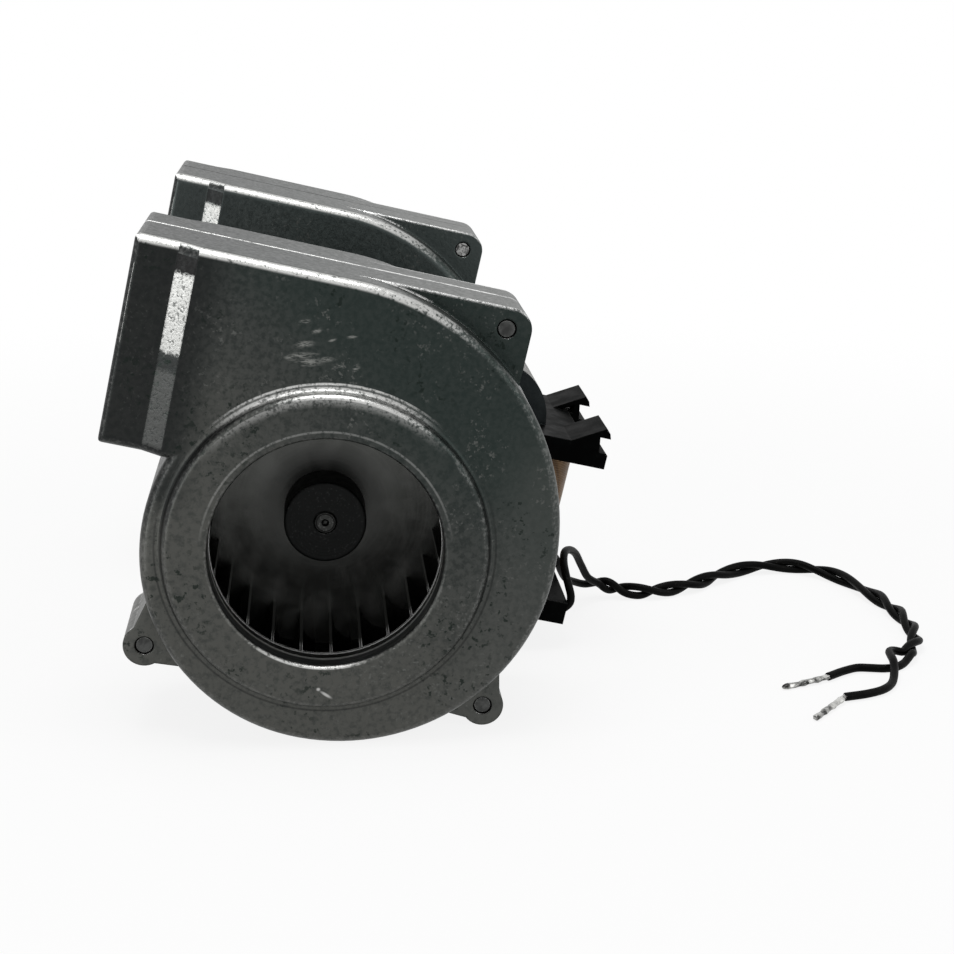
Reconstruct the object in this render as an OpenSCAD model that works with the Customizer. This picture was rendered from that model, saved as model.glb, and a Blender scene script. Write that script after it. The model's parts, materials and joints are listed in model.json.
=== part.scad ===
// Twin scroll blower: two die-cast scroll housings with an open-frame motor between them.
// One shaft carries a forward-curved wheel in each scroll. Both scrolls draw air in at their
// outer ends and blow it out to the same side.
//
// Each piece is drawn in the frame of the shaft: the shaft lies on the Y axis, X points away
// from the outlets and Z points to the flat tops of the scrolls. stand() then sets the blower
// down as it rests on a table, on the round bottoms of the scrolls and the ears beside them.

/* [Scroll castings] */
// Width of each scroll along the shaft
scroll_w = 40; // [36:0.5:48]
// Depth of the front casting of each scroll, from its face to the parting plane
front_depth = 22; // [19:0.5:25]
// Wall thickness of the castings
wall = 2.2; // [1.6:0.1:2.8]
// Radius of the scroll's first arc, from the tongue to the bottom
scroll_r = 39.7; // [38:0.1:43]
// Growth of the radius from the first arc to the lower right arc
lower_rise = 4.15; // [3:0.05:7]
// Growth of the radius from the lower right arc to the upper right arc
upper_rise = 7.9; // [5:0.05:10]
// How far the first arc's centre lies beyond the shaft, away from the outlet
scroll_dx = 2.8; // [1:0.1:4]
// How far the first arc's centre lies below the shaft
scroll_drop = 1.4; // [0:0.1:3]
// Distance of the outlet face from the shaft
outlet_x = 48.4; // [46:0.1:60]
// Outer height of the outlet nozzle
nozzle_h = 42.4; // [34:0.1:44]
// Rounding of the outer edges
edge_r = 2.2; // [0.8:0.1:2.6]
// How far the collar at the outlet is set back from the scroll's face
collar_drop = 2; // [1:0.1:3]
// Rounding of the collar's outer edges at the outlet
mouth_round = 1.3; // [0.4:0.1:1.5]
// Length of the collar at the outlet
collar_len = 8.6; // [5:0.1:9]
// Length of the ramp between the collar and the scroll's face
ramp_len = 4; // [2:0.1:4.4]
// Size of the chamfer along the parting plane
seam = 0.3; // [0.1:0.05:0.6]

/* [Ears and screws] */
// Outer radius of the ears and of the corner plate
ear_r = 4.4; // [4.2:0.1:5.5]
// How far the corner plate reaches beyond its screw
plate_side = 5.1; // [4.4:0.1:6]
// Distance of the ear holes outside the scroll's outline
ear_reach = 5.2; // [4:0.1:7]
// Half width of an ear where it meets the scroll
ear_root = 9; // [6:0.5:11]
// Direction of the left ear from the first arc's centre
left_ear_angle = 219.4; // [205:0.2:235]
// Direction of the right ear from the lower right arc's centre
right_ear_angle = 319; // [310:1:330]
// How far the ears and the corner plate are set back from each face
plate_inset = 8.5; // [6:0.5:12]
// Diameter of the screw holes
hole_d = 4; // [3.8:0.1:4.4]
// Diameter of the screws
screw_d = 3.4; // [3:0.1:3.7]
// Diameter of the screw heads
head_d = 7; // [6:0.1:8]
// Height of the screw heads
head_h = 2.6; // [2:0.1:3.4]

/* [Inlet] */
// Diameter of the inlet throat
inlet_d = 47.2; // [40:0.2:50]
// Diameter of the raised ring round the inlet
ring_d = 65.4; // [58:0.2:66]
// Height of the raised ring
ring_rise = 3; // [2:0.1:5]
// Rounding of the ring's outer edge
ring_round = 1.6; // [1:0.1:2.5]
// Rounding of the inlet's rim
rim_round = 0.9; // [0.4:0.1:1.5]
// Radius of the fillet round the ring's foot
foot_w = 1.3; // [0.4:0.1:1.4]

/* [Wheels] */
// Diameter of the wheels
wheel_d = 62; // [58:0.5:64]
// Gap between the wheel's plate and the tie bolts' heads
plate_gap = 2.1; // [1.5:0.1:4]
// Number of blades
blade_count = 24; // [18:1:30]
// Thickness of the blades
blade_t = 0.6; // [0.4:0.1:0.9]
// Radius of the blades' curve
blade_curve = 6.3; // [5.8:0.1:7.5]
// Radial depth of the blades
blade_depth = 6.8; // [5.5:0.1:7]
// Sheet thickness of the wheel's plate and ring
sheet_t = 0.8; // [0.5:0.1:1.2]
// Gap between the wheel's ring and the inlet wall
wheel_gap = 2.2; // [0.8:0.1:2.5]
// How far the plate's middle is dished towards the inlet
dish_rise = 0.6; // [0.4:0.1:3]
// Diameter of the hub
hub_d = 17.4; // [15:0.1:20]
// Height of the hub above the plate
hub_h = 10.5; // [8:0.1:12]
// Diameter of the hub's grub screw
grub_d = 3.8; // [3:0.1:4]

/* [Motor] */
// Space between the two scrolls
motor_gap = 72.7; // [70:0.1:84]
// Diameter of the shaft
shaft_d = 5; // [4:0.1:6]
// Diameter of the rotor
rotor_d = 31; // [28:0.5:33]
// Air gap between the rotor and the stator
air_gap = 0.4; // [0.3:0.05:0.6]
// Length of the stator stack along the shaft
stack_len = 26; // [20:0.5:28]
// Height of the stator stack
stack_h = 67.6; // [65:0.1:68]
// How far the stack reaches past the shaft towards the outlets
stack_back = 31; // [29:0.5:36]
// Width of the stack's arms and of the core leg that joins them
arm_w = 12.4; // [12:0.1:13]
// Distance of the core leg's outer side from the shaft
leg_x = 48.3; // [46.5:0.1:49]
// Rounding of the stack's corners
stack_round = 13; // [8:0.5:13]
// Radius of the circle of the two tie bolts round the shaft
tie_r = 29; // [27.5:0.1:29.5]
// Direction of the upper tie bolt
tie_angle = 128; // [122:1:134]
// Diameter of the tie bolts
tie_d = 4; // [3:0.1:4]
// Clearance of bolts in their holes, on the radius
bolt_play = 0.15; // [0.1:0.05:0.3]
// Running clearance of the shaft in its bearings, on the radius
bearing_play = 0.03; // [0.01:0.01:0.08]
// Diameter of the ball-shaped bearings
bearing_d = 11; // [10:0.1:12]
// Length of the bearings
bearing_len = 8; // [6:0.1:8.4]

/* [Coil] */
// Thickness of the winding round the core leg
winding_t = 6.2; // [5:0.1:7]
// Thickness of the bobbin's tube
tube_t = 1.2; // [0.8:0.1:1.6]
// Thickness of the bobbin's upper flange
flange_t = 5.2; // [4.2:0.1:6]
// Thickness of the bobbin's lower flange
foot_flange_t = 4; // [3:0.1:4.6]
// How far the flanges stand out past the winding, across the shaft
flange_lip = 1; // [0.5:0.1:1.4]
// How far the flanges stand out past the winding, along the shaft
flange_over = 3.4; // [2:0.1:5]
// Reach of the terminal pockets from the shaft
pocket_x = 62.1; // [61:0.1:66]
// Width of a terminal pocket along the shaft
pocket_w = 14; // [11:0.5:16]
// How far the pockets' roof flares up at its end
pocket_flare = 4.3; // [3.2:0.1:5]
// Reach of the lead block from the shaft
block_x = 61.6; // [60:0.1:65]
// Height of the lead block under the lower flange's top
block_h = 5.2; // [5:0.1:6]
// Diameter of the leads over the insulation
lead_d = 1.9; // [1.6:0.1:2.4]
// Diameter of the tinned ends
tip_d = 1.3; // [0.8:0.1:1.5]

/* [Hidden] */
$fn = 64;
// Clearance between parts that are slid together
slip = 0.2;
// Clearance of a shaft fit
fit = 0.01;
// Overlap of cutting shapes past the faces that they cut
past = 1;

// Outline of the scrolls: three arcs with common tangents, then the flat top
arc1 = [scroll_dx, -scroll_drop];
arc1_r = scroll_r;
arc2 = [arc1[0], arc1[1] + lower_rise];
arc2_r = arc1_r + lower_rise;
arc3 = [arc2[0] - upper_rise, arc2[1]];
arc3_r = arc2_r + upper_rise;
top_z = arc3[1] + arc3_r;
nozzle_low = top_z - nozzle_h;
ramp_end = collar_len + ramp_len - outlet_x;
outline_reach = arc3_r + outlet_x;
back_depth = scroll_w - front_depth;
foot_step = 0.1;
boss_w = 3;
pad_rim = 1;

// Places of the ears and of the corner plate's hole
function polar(centre, radius, angle) = centre + radius * [cos(angle), sin(angle)];
left_ear = polar(arc1, arc1_r + ear_reach, left_ear_angle);
right_ear = polar(arc2, arc2_r + ear_reach, right_ear_angle);
corner_run = sqrt(pow(arc3_r + ear_reach, 2) - pow(arc3_r - ear_r, 2));
corner = [arc3[0] + corner_run, top_z - ear_r];
holes = [left_ear, right_ear, corner];

// Distances along the shaft, from the plane half way between the scrolls
wall_out = motor_gap / 2;
wall_in = wall_out + wall;
face_out = wall_out + scroll_w;
face_in = face_out - wall;
front_parting = face_out - front_depth;
rear_parting = wall_out + front_depth;
motor_plate = wall_out + plate_inset;
inlet_plate = face_out - plate_inset;
ring_front = face_in - wheel_gap;
ring_back = ring_front - sheet_t;
washer_t = 0.8;
plate_back = wall_in + washer_t + head_h + plate_gap;
plate_front = plate_back + sheet_t;
blade_len = ring_back - plate_front;
seat_front = plate_front + dish_rise;
seat_back = plate_back + dish_rise;
hub_front = seat_front + hub_h;
shaft_proud = 0.3;
shaft_end = hub_front + shaft_proud;
inlet_r = inlet_d / 2;
wheel_r = wheel_d / 2;
shaft_r = shaft_d / 2;

// Wheel details
ring_w = 7.5;
ring_lip_h = 2;
ring_bore_r = wheel_r - ring_w;
blade_in_r = ring_bore_r + 0.3;
blade_out_r = blade_in_r + blade_depth;
neck_r = hub_d / 2 - 2.7;
collar_r = hub_d / 2 - 0.7;
collar_h = 2;
hub_round = 0.6;
dish_in_r = hub_d / 2 + 1.3;
dish_out_r = ring_bore_r - 1.5;
dish_steps = 12;

// Motor details
stack_half = stack_len / 2;
arm_in = stack_h / 2 - arm_w;
leg_in_x = leg_x - arm_w;
stator_bore_r = rotor_d / 2 + air_gap;
pole_wall = 4.2;
window_x = stator_bore_r + pole_wall;
window_slot = 2.4;
back_slot = 1.6;
back_slot_depth = 5;
tie_hole_r = tie_d / 2 + bolt_play;
ties = [polar([0, 0], tie_r, tie_angle), polar([0, 0], tie_r, tie_angle + 180)];
leg_post_r = 5;
pad_h = 1;
post_end = wall_out - pad_h;
nut_h = 2.4;
nut_w = 7;
end_ring_h = 4;
end_ring_w = 8;
bridge_in = stack_half + end_ring_h + 3;
bridge_t = 5;
rib_w = 2.4;
rib_h = 3;
cup_floor = 3.5;
bearing_seat = bridge_in + cup_floor;
bearing_end = bearing_seat + bearing_len;
retainer_t = 0.8;
cup_lip = 0.7;
housing_end = bearing_end + retainer_t + cup_lip;
felt_gap = 2.5;
shaft_room = 0.7;
felt_w = 2.5;
cup_wall = 1.4;
pocket_r = bearing_d / 2 + felt_w;
housing_r = pocket_r + cup_wall;
shaft_hole_r = housing_r + 1;
thrust_gap = 0.3;
shade_in = stator_bore_r + 1.2;
shade_w = 3;
shade_t = 2.2;
shade_span = 30;
shade_start = tie_angle - 8;

// Coil details
tube_in_x = leg_in_x - slip;
tube_out_x = leg_x + slip;
tube_half = stack_half + slip;
tube_play = 0.1;
coil_grow = tube_t + winding_t;
flange_top = arm_in - slip;
coil_top = flange_top - flange_t;
flange_low = -arm_in + slip;
coil_low = flange_low + foot_flange_t;
flange_grow = coil_grow + flange_lip;
flange_half = tube_half + coil_grow + flange_over;
pocket_start = tube_out_x + 0.6;
pocket_y = flange_half - pocket_w / 2;
pocket_wall = 1.3;
pocket_flat = 4;
pocket_bend = pocket_start + pocket_flat;
pocket_tip = [pocket_x - 1.5, flange_top + pocket_flare];
pocket_lip = [pocket_x - 0.1, flange_top + 2];
lip_bulge = [pocket_x - 0.5, pocket_tip[1] - 1.1];
pocket_notch = 2;
jaw_bevel = 0.4;
notch_low = flange_top - 1.5;
roof_drop = 1.2;
room_floor = flange_top - 0.4;
roof_slope = pocket_flare / (pocket_tip[0] - pocket_bend);
room_start = pocket_bend + (roof_drop - 0.4) / roof_slope;
notch_lean = 0.6;
room_end = pocket_x - pocket_notch - notch_lean - pocket_wall;
flange_round = 3;
winding_round = 7;
block_low = coil_low - block_h;
tab_w = 6.3;
tab_t = 0.8;
tab_gap = (tab_t + slip) / roof_slope;

// The stand: the blower leans until both the scrolls and the right ears touch the table
lean_run = right_ear - arc2;
lean = atan2(lean_run[0], -lean_run[1]) - acos((arc2_r - ear_r) / norm(lean_run));
axis_h = arc2_r + arc2[0] * sin(lean) - arc2[1] * cos(lean);
left_reach = (mouth_round - outlet_x) * cos(lean) + (nozzle_low + mouth_round) * sin(lean) - mouth_round;
right_reach = pocket_lip[0] * cos(lean) + pocket_lip[1] * sin(lean);
mid_x = (left_reach + right_reach) / 2;
function stood(p) = [
  p[0] * cos(lean) + p[2] * sin(lean) - mid_x,
  p[1],
  p[2] * cos(lean) - p[0] * sin(lean) + axis_h
];

// Leads: where they come out of the block and their loops from there, in the frame of the shaft,
// then the route of the pair from the right edge of the blower's outline, in the frame of the table
lead_seat = 2.4;
lead_room = 0.7;
lead_a_tilt = 50;
lead_a_exit = [block_x + 0.4, -20, coil_low - 2.2];
lead_b_exit = [block_x - 4, -8, coil_low];
lead_a_loop = [
  [0.85, 0, 1.4], [0.7, 0.3, 3], [-0.1, 1, 4.8], [-1, 3, 6.8], [-1.5, 7, 8.7], [-1, 11.5, 10.05], [1, 16, 9.65],
  [3.5, 20.5, 7.8], [6.7, 25.5, 3.75], [10.1, 29.3, -0.2]
];
lead_b_loop = [
  [0, 0, 1.6], [0.15, 1.1, 3.75], [0.85, 3.8, 5.25], [2.4, 6, 4.55], [4.1, 7.7, 2.6], [6.05, 10.8, -0.25],
  [8.5, 15, -3], [11.5, 18.3, -4.4], [14.9, 20.5, -5.05]
];
right_edge = right_reach - mid_x;
rest_z = lead_d / 2 + 0.15;
pair_run = [
  [3.9, 12.8, 2.2], [8.4, 14, 0.6], [14.4, 13.6, 0], [20.4, 15, 0], [26.9, 17.5, 0], [33.4, 22, 0],
  [39.4, 26, 0], [46.4, 30, 0], [52.9, 32, 0], [59.4, 31, 0], [65.4, 27, 0], [70.4, 20.5, 0],
  [73.9, 12.5, 0], [76.4, 3.5, 0], [77.4, -6.5, 0], [76.9, -17, 0], [73.9, -27, 0], [69.4, -36, 0]
];
lead_a_run = [[64.4, -41.5, 0], [59.4, -44.5, 0], [53.4, -46.5, 0], [46.4, -50, 0]];
lead_b_run = [[65.9, -43.5, 0], [63.4, -50, 0], [59.9, -56, 0], [53.9, -60.5, 0], [46.9, -63, 0]];
tip_a_run = [[40.4, -53, -0.2], [34.9, -55, -0.4]];
tip_b_run = [[42.4, -68, -0.2], [36.9, -73, -0.4]];
lead_sides = 8;

// Frames
module stand() {
  translate([-mid_x, 0, axis_h]) rotate([0, lean, 0]) children();
}
// Pieces at either end are drawn flat, with Z as the distance outward from the middle plane
module front_end() {
  stand() rotate([90, 0, 0]) children();
}
module rear_end() {
  stand() mirror([0, 1, 0]) rotate([90, 0, 0]) children();
}
module across(length) {
  stand() rotate([90, 0, 0]) linear_extrude(length, center = true) children();
}
module at(p) {
  translate([p[0], p[1], 0]) children();
}

// Plain shapes
module ring(out_r, in_r, low, high) {
  translate([0, 0, low]) difference() {
    cylinder(r = out_r, h = high - low);
    translate([0, 0, -past]) cylinder(r = in_r, h = high - low + 2 * past);
  }
}
module rounded_rect(low, high, r) {
  translate([low[0] + r, low[1]]) square([high[0] - low[0] - 2 * r, high[1] - low[1]]);
  translate([low[0], low[1] + r]) square([high[0] - low[0], high[1] - low[1] - 2 * r]);
  for (x = [low[0] + r, high[0] - r])
    for (y = [low[1] + r, high[1] - r])
      translate([x, y]) circle(r);
}

// Scroll castings, drawn with the parting plane at z = 0 and the outer face on top
module edge_profile(reach, depth, round, chamfer) {
  square([reach - round, depth]);
  polygon([[0, 0], [reach - chamfer, 0], [reach, chamfer], [reach, depth - round], [0, depth - round]]);
  translate([reach - round, depth - round]) circle(round);
}
module duct_profile(low, high, depth, round) {
  translate([low + round, 0]) square([high - low - 2 * round, depth]);
  polygon([
    [low + seam, 0], [high - seam, 0], [high, seam], [high, depth - round], [low, depth - round], [low, seam]
  ]);
  for (v = [low + round, high - round])
    translate([v, depth - round]) circle(round);
}
module duct(from, to, low, high, depth, round) {
  translate([from, 0, 0]) rotate([90, 0, 90]) linear_extrude(to - from)
    duct_profile(low, high, depth, round);
}
module disc_part(centre, radius, depth, round, low, high) {
  intersection() {
    at(centre) rotate_extrude() edge_profile(radius, depth, round, seam);
    translate([low[0], low[1], -past]) cube([high[0] - low[0], high[1] - low[1], depth + 2 * past]);
  }
}
// The scroll's body, with its outline moved in by inset
module scroll_body(inset, depth, round) {
  far = outline_reach;
  disc_part(arc1, arc1_r - inset, depth, round, [-far, -far], [arc1[0], far]);
  disc_part(arc2, arc2_r - inset, depth, round, [arc1[0], -far], [far, arc2[1]]);
  disc_part(arc3, arc3_r - inset, depth, round, [arc3[0], arc2[1]], [far, far]);
  duct(ramp_end, arc3[0], nozzle_low + inset, top_z - inset, depth, round);
}
// The collar's outline with the corners of its mouth rounded, between two heights
module mouth_outline(low, high) {
  round_x = mouth_round - outlet_x;
  translate([-outlet_x, low + mouth_round]) square([2 * outlet_x, high - low - 2 * mouth_round]);
  translate([round_x, low]) square([2 * outlet_x, high - low]);
  for (v = [low + mouth_round, high - mouth_round])
    translate([round_x, v]) circle(mouth_round);
}
module outlet_collar(depth) {
  low_face = depth - collar_drop;
  ramp_start = ramp_end - ramp_len;
  slope = collar_drop / ramp_len;
  intersection() {
    duct(-outlet_x, ramp_end, nozzle_low, top_z, low_face, edge_r);
    translate([0, top_z + past, 0]) rotate([90, 0, 0]) linear_extrude(nozzle_h + 2 * past)
      mouth_outline(-low_face, low_face);
    translate([0, 0, -past]) linear_extrude(depth + past) mouth_outline(nozzle_low, top_z);
  }
  multmatrix([[1, 0, 0, 0], [0, 1, 0, 0], [slope, 0, 1, -slope * ramp_start], [0, 0, 0, 1]])
    duct(ramp_start, ramp_end, nozzle_low, top_z, low_face, edge_r);
}
module ear(centre, radius, angle) {
  along = [cos(angle), sin(angle)];
  side = [-sin(angle), cos(angle)];
  tip = centre + (radius + ear_reach) * along;
  root = centre + (radius - wall / 2) * along;
  at(tip) circle(ear_r);
  polygon([tip + ear_r * side, tip - ear_r * side, root - ear_root * side, root + ear_root * side]);
}
module plate_outline() {
  ear(arc1, arc1_r, left_ear_angle);
  ear(arc2, arc2_r, right_ear_angle);
  low = [arc3[0], arc3[1]];
  side_x = corner[0] + plate_side;
  translate(low) square([side_x - ear_r - low[0], top_z - low[1]]);
  translate(low) square([side_x - low[0], corner[1] - low[1]]);
  at([side_x - ear_r, corner[1]]) circle(ear_r);
}
module scroll_half(depth) {
  cavity = depth - wall;
  difference() {
    union() {
      scroll_body(0, depth, edge_r);
      outlet_collar(depth);
      linear_extrude(depth - plate_inset) plate_outline();
      children(0);
    }
    translate([0, 0, -past]) scroll_body(wall, cavity + past, edge_r / 2);
    translate([0, 0, -past])
      duct(-outlet_x - past, arc3[0], nozzle_low + wall, top_z - wall,
        cavity - collar_drop + past, edge_r / 2);
    for (p = holes)
      at(p) translate([0, 0, -past]) cylinder(d = hole_d, h = depth + past);
    children(1);
  }
}
module ring_profile() {
  ring_r = ring_d / 2;
  from = inlet_r - past;
  base = -wall / 2;
  translate([from, base]) square([ring_r - ring_round - from, ring_rise - rim_round - base]);
  translate([inlet_r + rim_round, base]) square([ring_r - ring_round - inlet_r - rim_round, ring_rise - base]);
  translate([from, base]) square([ring_r - from, ring_rise - ring_round - base]);
  difference() {
    translate([from, base]) square([ring_r + foot_w - from, foot_w + foot_step - base]);
    translate([ring_r + foot_w, foot_w + foot_step]) circle(foot_w);
  }
  translate([ring_r - ring_round, ring_rise - ring_round]) circle(ring_round);
  translate([inlet_r + rim_round, ring_rise - rim_round]) circle(rim_round);
}
module inlet_half(depth) {
  color("dimgray") scroll_half(depth) {
    translate([0, 0, depth]) rotate_extrude() ring_profile();
    translate([0, 0, -past]) cylinder(r = inlet_r, h = depth + ring_rise + 2 * past);
  }
}
module motor_half(depth) {
  color("dimgray") scroll_half(depth) {
    union() {
      translate([0, 0, depth - wall / 2]) cylinder(r = shaft_hole_r + boss_w, h = wall / 2 + pad_h);
      for (p = ties)
        at(p) translate([0, 0, depth - wall / 2]) cylinder(r = leg_post_r + pad_rim, h = wall / 2 + pad_h);
    }
    union() {
      cylinder(r = shaft_hole_r, h = depth + 2 * past);
      for (p = ties)
        at(p) cylinder(r = tie_hole_r, h = depth + 2 * past);
    }
  }
}
module front_inlet_shell() {
  front_end() translate([0, 0, front_parting]) inlet_half(front_depth);
}
module front_motor_shell() {
  front_end() translate([0, 0, front_parting]) mirror([0, 0, 1]) motor_half(back_depth);
}
module rear_motor_shell() {
  rear_end() translate([0, 0, rear_parting]) mirror([0, 0, 1]) motor_half(front_depth);
}
module rear_inlet_shell() {
  rear_end() translate([0, 0, rear_parting]) inlet_half(back_depth);
}

// Screws that close each scroll, all put in from behind: their flat ends show in front
module scroll_screws() {
  end_gap = 0.4;
  socket_d = head_d * 0.5;
  color("silver") for (p = holes) at(p) difference() {
    union() {
      translate([0, 0, motor_plate]) cylinder(d = screw_d, h = inlet_plate - motor_plate - end_gap);
      translate([0, 0, motor_plate - head_h]) cylinder(d = head_d, h = head_h);
    }
    translate([0, 0, motor_plate - head_h - past]) cylinder(d = socket_d, h = head_h / 2 + past, $fn = 6);
  }
}
module front_scroll_screws() {
  front_end() scroll_screws();
}
module rear_scroll_screws() {
  rear_end() translate([0, 0, motor_plate + inlet_plate]) mirror([0, 0, 1]) scroll_screws();
}

// Stator: an open C of laminations closed by the core leg inside the coil
module stator_outline() {
  difference() {
    rounded_rect([-stack_back, -stack_h / 2], [leg_x, stack_h / 2], stack_round);
    circle(stator_bore_r);
    translate([window_x, -arm_in]) square([leg_x - window_x + past, 2 * arm_in]);
    translate([0, -window_slot / 2]) square([window_x + past, window_slot]);
    translate([-stator_bore_r - back_slot_depth, -back_slot / 2]) square([stator_bore_r, back_slot]);
    for (turn = [0, 180])
      for (step = [0, shade_span])
        rotate(turn + shade_start + step) translate([0, -shade_t / 2 - slip])
          square([shade_in + shade_w + slip, shade_t + 2 * slip]);
    for (p = ties)
      at(p) circle(tie_hole_r);
  }
}
module stator_stack() {
  color("slategray") across(stack_len) stator_outline();
}
module core_leg() {
  color("slategray") across(stack_len)
    translate([leg_in_x, -arm_in]) square([arm_w, 2 * arm_in]);
}
// Closed copper loops round one tip of each pole
module shading_ring() {
  strap = 1.5;
  for (step = [0, shade_span])
    translate([0, 0, -stack_half - strap]) linear_extrude(stack_len + 2 * strap)
      rotate(shade_start + step) translate([shade_in, -shade_t / 2]) square([shade_w, shade_t]);
  for (low = [-stack_half - strap, stack_half])
    translate([0, 0, low]) linear_extrude(strap) intersection() {
      difference() {
        circle(shade_in + shade_w);
        circle(shade_in);
      }
      rotate(shade_start) polygon([[0, 0], [2 * stack_back, 0],
        2 * stack_back * [cos(shade_span), sin(shade_span)]]);
    }
}
module shading_rings() {
  color("peru") front_end()
    for (turn = [0, 180])
      rotate(turn) shading_ring();
}

// Coil on its bobbin
module coil_rect(grow, r) {
  rounded_rect([tube_in_x - grow, -tube_half - grow], [tube_out_x + grow, tube_half + grow], r);
}
module tube_hole(low, high) {
  translate([tube_in_x, -tube_half, low]) cube([tube_out_x - tube_in_x, 2 * tube_half, high - low]);
}
module pocket_profile() {
  polygon([
    [pocket_start, coil_top], [pocket_x, coil_top], [pocket_x, notch_low - jaw_bevel],
    [pocket_x - jaw_bevel, notch_low], [pocket_x - pocket_notch, notch_low],
    [pocket_x - pocket_notch - notch_lean, pocket_lip[1]],
    pocket_lip, lip_bulge, pocket_tip, [pocket_bend, flange_top], [pocket_start, flange_top]
  ]);
}
// The room under the roof is open towards the other pocket
module pocket_room() {
  polygon([
    [room_start, room_floor], [room_end, room_floor],
    [room_end, flange_top - roof_drop + roof_slope * (room_end - pocket_bend)]
  ]);
}
module terminal_pocket() {
  translate([0, flange_half, 0]) rotate([90, 0, 0]) linear_extrude(pocket_w) pocket_profile();
}
module terminal_room() {
  translate([0, flange_half - pocket_wall, 0]) rotate([90, 0, 0]) linear_extrude(pocket_w) pocket_room();
}
// The far pocket is closed behind its notch
module notch_web() {
  back_x = pocket_x - pocket_notch;
  translate([0, flange_half, 0]) rotate([90, 0, 0]) linear_extrude(pocket_wall)
    polygon([[back_x - notch_lean - past, pocket_lip[1] + past], [back_x - past, notch_low - past],
      [pocket_x - jaw_bevel, notch_low - past], [pocket_lip[0], pocket_lip[1] + past]]);
}
module lead_hole(exit, tilt) {
  translate(exit) rotate([0, tilt, 0]) translate([0, 0, -lead_seat])
    cylinder(d = lead_d + lead_room, h = 2 * lead_seat);
}
module flange(low, height) {
  translate([0, 0, low]) linear_extrude(height)
    rounded_rect([tube_in_x - flange_grow, -flange_half], [tube_out_x + flange_grow, flange_half], flange_round);
}
module coil_bobbin() {
  color("black") stand() difference() {
    union() {
      translate([0, 0, flange_low]) linear_extrude(flange_top - flange_low) coil_rect(tube_t, tube_t);
      flange(coil_top, flange_t);
      flange(flange_low, foot_flange_t);
      terminal_pocket();
      mirror([0, 1, 0]) terminal_pocket();
      notch_web();
      translate([pocket_start, -flange_half, block_low])
        cube([block_x - pocket_start, 2 * flange_half, block_h]);
    }
    tube_hole(flange_low - past, flange_top + past);
    terminal_room();
    mirror([0, 1, 0]) terminal_room();
    lead_hole(lead_a_exit, lead_a_tilt);
    lead_hole(lead_b_exit, 0);
  }
}
module coil_winding() {
  color("sienna") stand() translate([0, 0, coil_low]) linear_extrude(coil_top - coil_low) difference() {
    coil_rect(coil_grow, winding_round);
    coil_rect(tube_t + tube_play, tube_t);
  }
}
module coil_terminals() {
  from = room_start + tab_gap;
  color("gainsboro") stand() for (y = [-pocket_y, pocket_y])
    translate([from, y - tab_w / 2, room_floor])
      cube([room_end - slip - from, tab_w, tab_t]);
}

// Bearing bridges: two posts, a bar across them and a cup for the bearing
module bearing_bridge() {
  color("darkgray") difference() {
    union() {
      for (p = ties)
        at(p) translate([0, 0, stack_half]) cylinder(r = leg_post_r, h = post_end - stack_half);
      rotate(tie_angle) translate([-tie_r, -leg_post_r, bridge_in]) cube([2 * tie_r, 2 * leg_post_r, bridge_t]);
      rotate(tie_angle) translate([-tie_r, -rib_w / 2, bridge_in]) cube([2 * tie_r, rib_w, bridge_t + rib_h]);
      translate([0, 0, bridge_in]) cylinder(r = housing_r, h = housing_end - bridge_in);
    }
    translate([0, 0, bearing_seat]) cylinder(r = pocket_r, h = housing_end);
    cylinder(r = shaft_r + shaft_room, h = housing_end);
    for (p = ties)
      at(p) cylinder(r = tie_hole_r, h = wall_out);
  }
}
module bearing() {
  color("darkgoldenrod") difference() {
    intersection() {
      translate([0, 0, (bearing_seat + bearing_end) / 2]) sphere(d = bearing_d);
      translate([0, 0, bearing_seat]) cylinder(d = bearing_d + past, h = bearing_len);
    }
    cylinder(r = shaft_r + bearing_play, h = wall_out);
  }
}
module oil_felt() {
  color("wheat") ring(pocket_r - fit, bearing_d / 2 + slip / 2, bearing_seat, bearing_end - felt_gap);
}
module bearing_retainer() {
  color("silver") ring(pocket_r - fit, shaft_r + shaft_room, bearing_end, bearing_end + retainer_t);
}
module front_bearing_bridge() {
  front_end() bearing_bridge();
}
module rear_bearing_bridge() {
  rear_end() bearing_bridge();
}
module front_bearing() {
  front_end() bearing();
}
module rear_bearing() {
  rear_end() bearing();
}
module front_oil_felt() {
  front_end() oil_felt();
}
module rear_oil_felt() {
  rear_end() oil_felt();
}
module front_bearing_retainer() {
  front_end() bearing_retainer();
}
module rear_bearing_retainer() {
  rear_end() bearing_retainer();
}

// Tie bolts: from inside one scroll, through the motor, to nuts inside the other
module tie_bolts() {
  head_low = wall_in + washer_t;
  bolt_end = head_low + nut_h + 0.4;
  color("silver") front_end() for (p = ties) at(p) difference() {
    union() {
      translate([0, 0, -bolt_end]) cylinder(d = tie_d, h = bolt_end + head_low);
      translate([0, 0, head_low]) cylinder(d = head_d, h = head_h);
    }
    translate([0, 0, head_low + head_h / 2]) cylinder(d = head_d / 2, h = head_h, $fn = 6);
  }
}
module tie_washers() {
  color("silver") front_end() for (p = ties)
    for (low = [wall_in, -wall_in - washer_t])
      at(p) ring(head_d / 2 + 0.8, tie_hole_r, low, low + washer_t);
}
module tie_nuts() {
  nut_d = nut_w / cos(30);
  low = wall_in + washer_t;
  color("silver") rear_end() for (p = ties) at(p) difference() {
    translate([0, 0, low]) cylinder(d = nut_d, h = nut_h, $fn = 6);
    translate([0, 0, low - past]) cylinder(d = tie_d + 2 * fit, h = nut_h + 2 * past);
  }
}

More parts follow.
